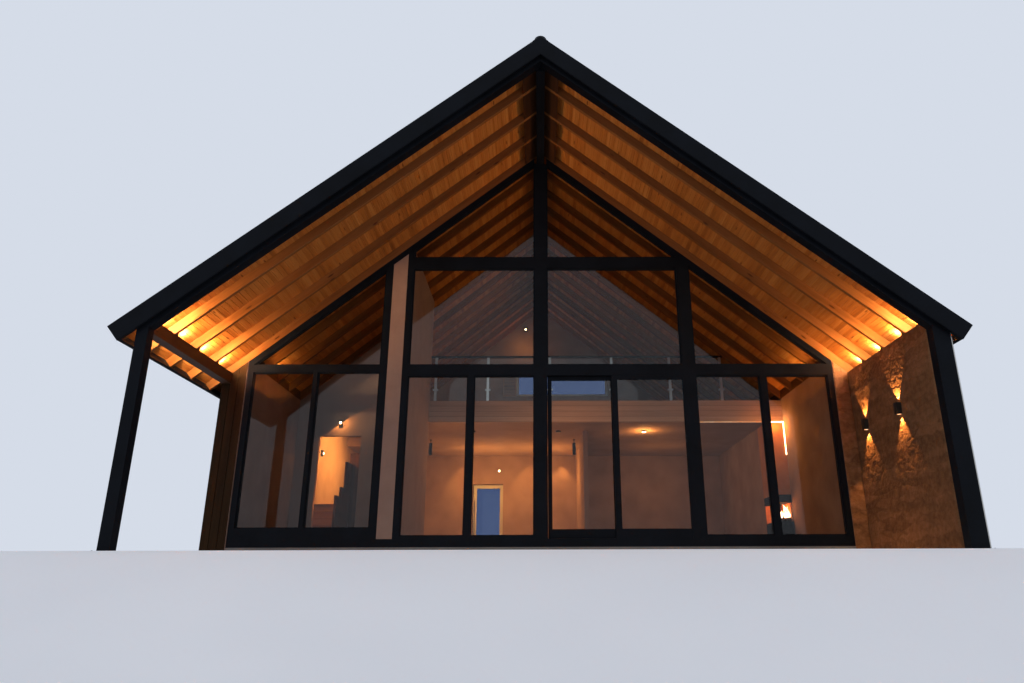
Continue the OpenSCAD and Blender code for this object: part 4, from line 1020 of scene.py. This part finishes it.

# %% [markdown]
# ## The fire
# An open fire burns between the hearth and the hood. The logs are rough cylinders, and
# each flame is a drop that narrows to a tip and sways as it rises. The flames glow, and a
# small lamp between them lights the hood and the slabs of fire clay behind it. Smoke and
# fire could be simulated, but at this distance a glowing surface gives the same small spot.

# %% logs, flames and hood rim
def log(a, b, r, seed):
    """Bark-covered round: circles of radius r (1 + ridges) along the line from a to b, with
    closed ends."""
    a, b = np.array(a, float), np.array(b, float)
    t = np.concatenate([[0, 0], np.linspace(0, 1, 16), [1, 1]])
    size = np.concatenate([[0.1, 0.85], np.full(16, 1.0), [0.85, 0.1]])
    way = (b - a) / np.linalg.norm(b - a)
    u = np.cross(way, (0, 0, 1.0))
    u /= np.linalg.norm(u)
    v = np.cross(u, way)
    ang = circle(24)
    wave = 1 + 0.06 * np.sin(5 * ang + seed) + 0.05 * np.sin(11 * ang + 2 * seed)
    wave = wave[None] * (1 + 0.05 * np.sin(9 * t + seed)[:, None])
    rad = (r * size[:, None] * wave)[..., None]
    pts = a + t[:, None, None] * (b - a) + rad * (np.cos(ang)[None, :, None] * u
                                                  + np.sin(ang)[None, :, None] * v)
    return tube(pts)


def tongue(x, y, z, r, h, seed):
    """Flame: radius r sin(pi t^0.6) (1 - 0.4 t) at height h t, its axis swaying with t."""
    t = np.linspace(0.01, 0.995, 24)
    ang = circle(20)
    rad = r * np.sin(math.pi * t ** 0.6) * (1 - 0.4 * t)
    cx = x + 0.5 * r * t * np.sin(4 * t + seed)
    cy = y + 0.5 * r * t * np.cos(5 * t + 2 * seed)
    pts = np.stack([cx[:, None] + rad[:, None] * np.cos(ang), cy[:, None] + rad[:, None]
                    * np.sin(ang), np.broadcast_to(z + h * t[:, None], (24, 20))], axis=-1)
    return tube(pts, turn=True)


logs = merge(log((5.55, -0.34, 0.95), (5.80, -0.12, 0.95), 0.045, 1),
             log((5.80, -0.36, 0.95), (5.58, -0.06, 0.955), 0.042, 2),
             log((5.56, -0.24, 1.02), (5.82, -0.22, 1.03), 0.040, 4),
             log((5.60, 0.02, 0.95), (5.80, 0.20, 0.95), 0.045, 6))
bark = wood("charred_split_logs", "XYZ", "#120c08", "#2c1d12", "#4a3322", board=0.05,
            knots=0.2, roughness=0.9)
piece("fire_logs", *logs, "beam_timber", bark, smooth=True)
tongues = merge(*[tongue(x, y, 0.98, r, h, n) for n, (x, y, r, h) in enumerate(
    [(5.72, -0.24, 0.075, 0.33), (5.63, -0.16, 0.060, 0.25), (5.78, -0.31, 0.055, 0.28),
     (5.76, -0.08, 0.060, 0.24), (5.62, -0.30, 0.040, 0.18), (5.70, 0.06, 0.050, 0.17)])])
piece("fire_flames", *tongues, "lamp_body", flame, smooth=True)
piece("hood_rim", *merge(blocks([5.474, -0.446, 1.331], [5.85, -0.4402, 1.365], 0.001),
                         blocks([5.474, -0.4402, 1.331], [5.4798, 0.46, 1.365], 0.001)),
      "black_steel")
# fire clay behind the flames: the fire lamp lights it, and its orange tone is partly painted
# glow of the fire
clay = mineral("fire_clay_and_painted_glow", "#9a6440", "#b97b4d", "#cc9060", 0.003, 0.12)
piece("firebox_lining", *merge(blocks([5.49, 0.435, 0.902], [5.849, 0.455, 1.328], 0.001),
                               blocks([5.832, -0.40, 0.902], [5.849, 0.434, 1.328], 0.001)),
      "breast_plaster", clay)
print("flames: 6, logs: 4")

# %% [markdown]
# Light strips sit in narrow channels: under the mezzanine's edge, over the chimney breast and
# down its side, and beside the stair. Each is a diffuser bar a centimetre wide that glows.

# %% light strips
piece("light_strips", *merge(
    blocks([3.76, -0.449, 3.226], [5.45, -0.437, 3.2398], 0.001),
    blocks([-5.849, 0.86, 1.52], [-5.838, 0.88, 1.77], 0.001)), "lamp_body", strip_light)
piece("breast_strips", *merge(
    blocks([5.48, -0.455, 3.222], [5.832, -0.4402, 3.2398], 0.001),
    blocks([5.834, -0.455, 2.45], [5.8495, -0.4402, 3.2398], 0.001)), "lamp_body", warm_lens)

# %% [markdown]
# ## Lamps
# Eight lights stand on top of the eave beam and the stone wall and wash the rafters, two up
# and down lights hang on the stone, and small lights are over the doorways and under the
# mezzanine. Each gets a lens that glows and a real lamp of matching colour, but two of the
# lights under the mezzanine are unlit and have a dull lens.

# %% lenses
lens_at, lens_way = [], []
up_y = [-6.74 + 0.11] + [y - 0.66 for y in RAFTER_Y[1:4]]
for way, x in ((-1, LEFT_OUT - 0.13), (1, RIGHT_OUT - 0.23)):
    for y in up_y:
        lens_at.append((way * x, y, float(level(x, D_RAFTER - 0.05)) - 0.001))
        lens_way.append(np.array([way * SIN, 0, COS]))
WALL_LAMPS = [GLASS_Y - 0.56, GLASS_Y - 1.875]
DOOR_LAMP = (-4.815, -0.43, 3.24)
CEILING_X, CEILING_STEP = 2.82, 2.33
ceiling_lens = [(CEILING_X - i * CEILING_STEP, GLASS_Y + 5.6, CEILING - 0.039)
                for i in range(3)]
lenses = [discs(lens_at, lens_way, 0.033, 0.006),
          discs(ceiling_lens[:1], [(0, 0, -1)], 0.06, 0.012),
          discs([DOOR_LAMP, (-0.5, REAR_IN - 0.07, 7.87), (-1.337, 6.03, 3.01),
                 (-5.789, 1.70, 2.86)],
                [(0, -1, 0), (0, -1, 0), (0, -1, 0), (1, 0, 0)], 0.03, 0.01)]
piece("lamp_lenses", *merge(*lenses), "lamp_body", warm_lens)
ends = [(PORCH_IN - 0.05, y, z) for y in WALL_LAMPS for z in (2.479, 2.281)]
piece("wall_lamp_lenses", *discs(ends, [(0, 0, 1), (0, 0, -1)] * 2, 0.036, 0.004),
      "lamp_body", dim_lens)
piece("unlit_lenses", *discs(ceiling_lens[1:], [(0, 0, -1)] * 2, 0.06, 0.008),
      "lamp_body", dark_lens)
print("lenses:", len(lens_at) + len(ends) + len(ceiling_lens) + 4)

# %% [markdown]
# A lens only glows; the light on the timber and the stone comes from a lamp in front of it.
# Each uplight has a wide beam across the rafters, a softer one along the porch and a bright
# pool where the board meets it. Powers are in watts and were set room by room.

# %% the light of the house lamps
HONEY, CREAM, AMBER = "#ffc98a", "#ffe0b8", "#ffb25e"


def lamp(name, kind, place, power, hexa, aim=None, size=0.05, cone=None, blend=0.5):
    """A light that only lights: the lens, not the light, is what is seen."""
    data = bpy.data.lights.new(name, kind)
    data.energy = power
    data.color = colour(hexa)[:3]
    if kind != "SUN":
        data.shadow_soft_size = size
    if cone:
        data.spot_size = math.radians(cone)
        data.spot_blend = blend
    obj = bpy.data.objects.new(name, data)
    obj.location = place
    if aim is not None:
        obj.rotation_euler = Vector(aim).to_track_quat("-Z", "Y").to_euler()
    obj.visible_camera = obj.visible_glossy = obj.visible_transmission = False
    scene.collection.objects.link(obj)
    return obj


def washes(name, place, way, power):
    """Beam from the eave across the rafters towards the ridge."""
    lamp(name, "SPOT", place, power, HONEY, aim=(-way * 0.70, 0.42, 0.58), size=0.03, cone=120,
         blend=0.9)


for i, (at, n) in enumerate(zip(lens_at, lens_way)):
    way = 1 if at[0] > 0 else -1
    place = np.array(at) + 0.02 * n
    washes(f"uplight_{i}", place, way, 220 if way < 0 else 190)
    lamp(f"upglow_{i}", "SPOT", place, 60 if i % 4 == 3 else 160 if way < 0 else 70, CREAM,
         aim=(way * 0.28, 0.9, 0.35), size=0.03, cone=120, blend=0.5)
    pool = (at[0], at[1] + 0.27, float(level(at[0], D_BOARD)) - 0.06)
    lamp(f"uppool_{i}", "POINT", pool, 9, "#fff0dc", size=0.02)
for i, (way, y) in enumerate([(w, y) for w in (-1, 1) for y in (-3.3, -2.5)]):
    washes(f"cove_light_{i}", (way * 5.76, y, float(level(5.76, D_RAFTER)) + 0.03), way,
           20 if way < 0 else 32)
for i, y in enumerate(WALL_LAMPS):
    for k, (z, w) in enumerate(((2.49, 1), (2.27, -1))):
        lamp(f"wall_light_{i}_{k}", "SPOT", (PORCH_IN - 0.070, y, z), 80, "#ffbd70",
             aim=(0.14, 0, w), size=0.010, cone=68, blend=0.3)
# x, y, z and watts: two in the rear hall, under the ceiling light, the room below the upper
# floor, the stair, the hall's front end, over the upper floor, the living room, the breast
rooms = [(-1.7, 4.6, 2.4, 110), (0.2, 4.6, 2.6, 70), (2.82, 1.92, 3.3, 45),
         (3.6, 4.2, 2.4, 25), (-5.3, 0.9, 2.7, 40),
         (-1.9, 0.6, 2.4, 25), (-0.5, 5.6, 7.2, 6), (0.6, -2.0, 2.9, 32), (5.2, -0.9, 2.7, 10)]
for i, (*place, power) in enumerate(rooms):
    lamp(f"room_light_{i}", "POINT", place, power, AMBER, size=0.12)
for i, x in enumerate((-2.5, -0.4, 0.7)):
    lamp(f"wall_wash_{i}", "SPOT", (x, 5.85, 3.42), 60, AMBER, aim=(0, 0.12, -1), size=0.04,
         cone=70, blend=0.4)
lamp("fire_light", "POINT", (5.66, -0.20, 1.16), 22, "#ff9438", size=0.06)
lamp("strip_light_top", "POINT", (5.62, -0.56, 3.10), 22, "#ffa850", size=0.05)
lamp("hall_light", "SPOT", (-4.5, 2.5, 3.1), 420, "#ffb257", aim=(-1, 0.1, -0.35), size=0.12,
     cone=130, blend=0.6)
lamp("stair_light", "POINT", (-5.72, 1.70, 2.86), 8, AMBER, size=0.04)
lamp("door_light", "SPOT", (DOOR_LAMP[0], DOOR_LAMP[1] - 0.09, DOOR_LAMP[2]), 9, AMBER,
     aim=(0.57, 0.05, -0.82), size=0.01, cone=176, blend=0.02)
lamp("step_light", "POINT", (-5.2, -0.10, 1.35), 4, "#ff9f4a", size=0.05)

# %% [markdown]
# ## Ground, sky and studio light
# The floor is level under the house and falls away in front of it, because the camera stands
# below the base and looks up a slope. The sky is one even, pale light, and a wide soft sun
# from the front gives the black frames their form.

# %% rays that show the background
def seen_rays(tree):
    """1 for rays that show a surface to the camera, straight, in a mirror or through glass,
    and 0 for light on its way to something else."""
    path = add(tree, "LightPath").outputs
    seen = add(tree, "Math", {0: path["Is Camera Ray"], 1: path["Is Transmission Ray"]},
               operation="MAXIMUM")
    return add(tree, "Math", {0: seen, 1: path["Is Glossy Ray"]}, operation="MAXIMUM")


print("rays: camera, mirror and glass")

# %% floor
REACH, DROP = 700.0, 1.75


def ground():
    """Sheet z(x, y) = -drop t^2 (3 - 2 t), with t from 0 at y = -7.4 m to 1 at y = -14.4 m,
    2 mm under the base so that it never cuts a foot."""
    x = np.linspace(-REACH, REACH, 61)
    y = np.concatenate([np.linspace(-REACH, -16, 20), np.linspace(-15.5, -7.0, 35),
                        np.linspace(-6.5, REACH, 30)])
    xx, yy = np.meshgrid(x, y, indexing="ij")
    t = np.clip((-7.4 - yy) / 7.0, 0, 1)
    return grid(np.stack([xx, yy, -DROP * t * t * (3 - 2 * t) - 0.002], axis=-1))


floor_mat = mineral("pale_ground", "#dfe2e8", "#e6e9ee", "#edeff3", 0.01, 3.0, bite=0.05)
tree = floor_mat.node_tree
lift = add(tree, "Math", {0: seen_rays(tree), 1: 0.3}, operation="MULTIPLY")
feed(tree, tree.nodes["Principled BSDF"], {"Emission Color": colour("#e9edf5"),
                                           "Emission Strength": lift})
pts, faces = ground()
mesh = bpy.data.meshes.new("ground")
mesh.from_pydata(pts, [], faces[0].tolist())
mesh.polygons.foreach_set("use_smooth", np.ones(len(mesh.polygons), bool))
mesh.materials.append(floor_mat)
floor = bpy.data.objects.new("ground", mesh)
scene.collection.objects.link(floor)
print("floor faces:", len(mesh.polygons))

# %% sky and sun
sky = bpy.data.worlds.new("even_sky")
scene.world = sky
sky.use_nodes = True
tree = sky.node_tree
seen = seen_rays(tree)
tint = add(tree, "Mix", {0: seen, 6: colour("#b9c4d8"), 7: colour("#d5dce8")},
           data_type="RGBA").outputs[2]
strength = add(tree, "Math", {0: seen, 1: 0.5, 2: 0.5}, operation="MULTIPLY_ADD")
feed(tree, tree.nodes["Background"], {"Color": tint, "Strength": strength})

sun = lamp("soft_sun", "SUN", (0, -20, 20), 0.55, "#fff6ea", aim=(0.25, 1, -0.9))
sun.data.angle = math.radians(50)
scene.view_settings.view_transform = "Standard"
print("pieces", count["pieces"], "faces", count["faces"])
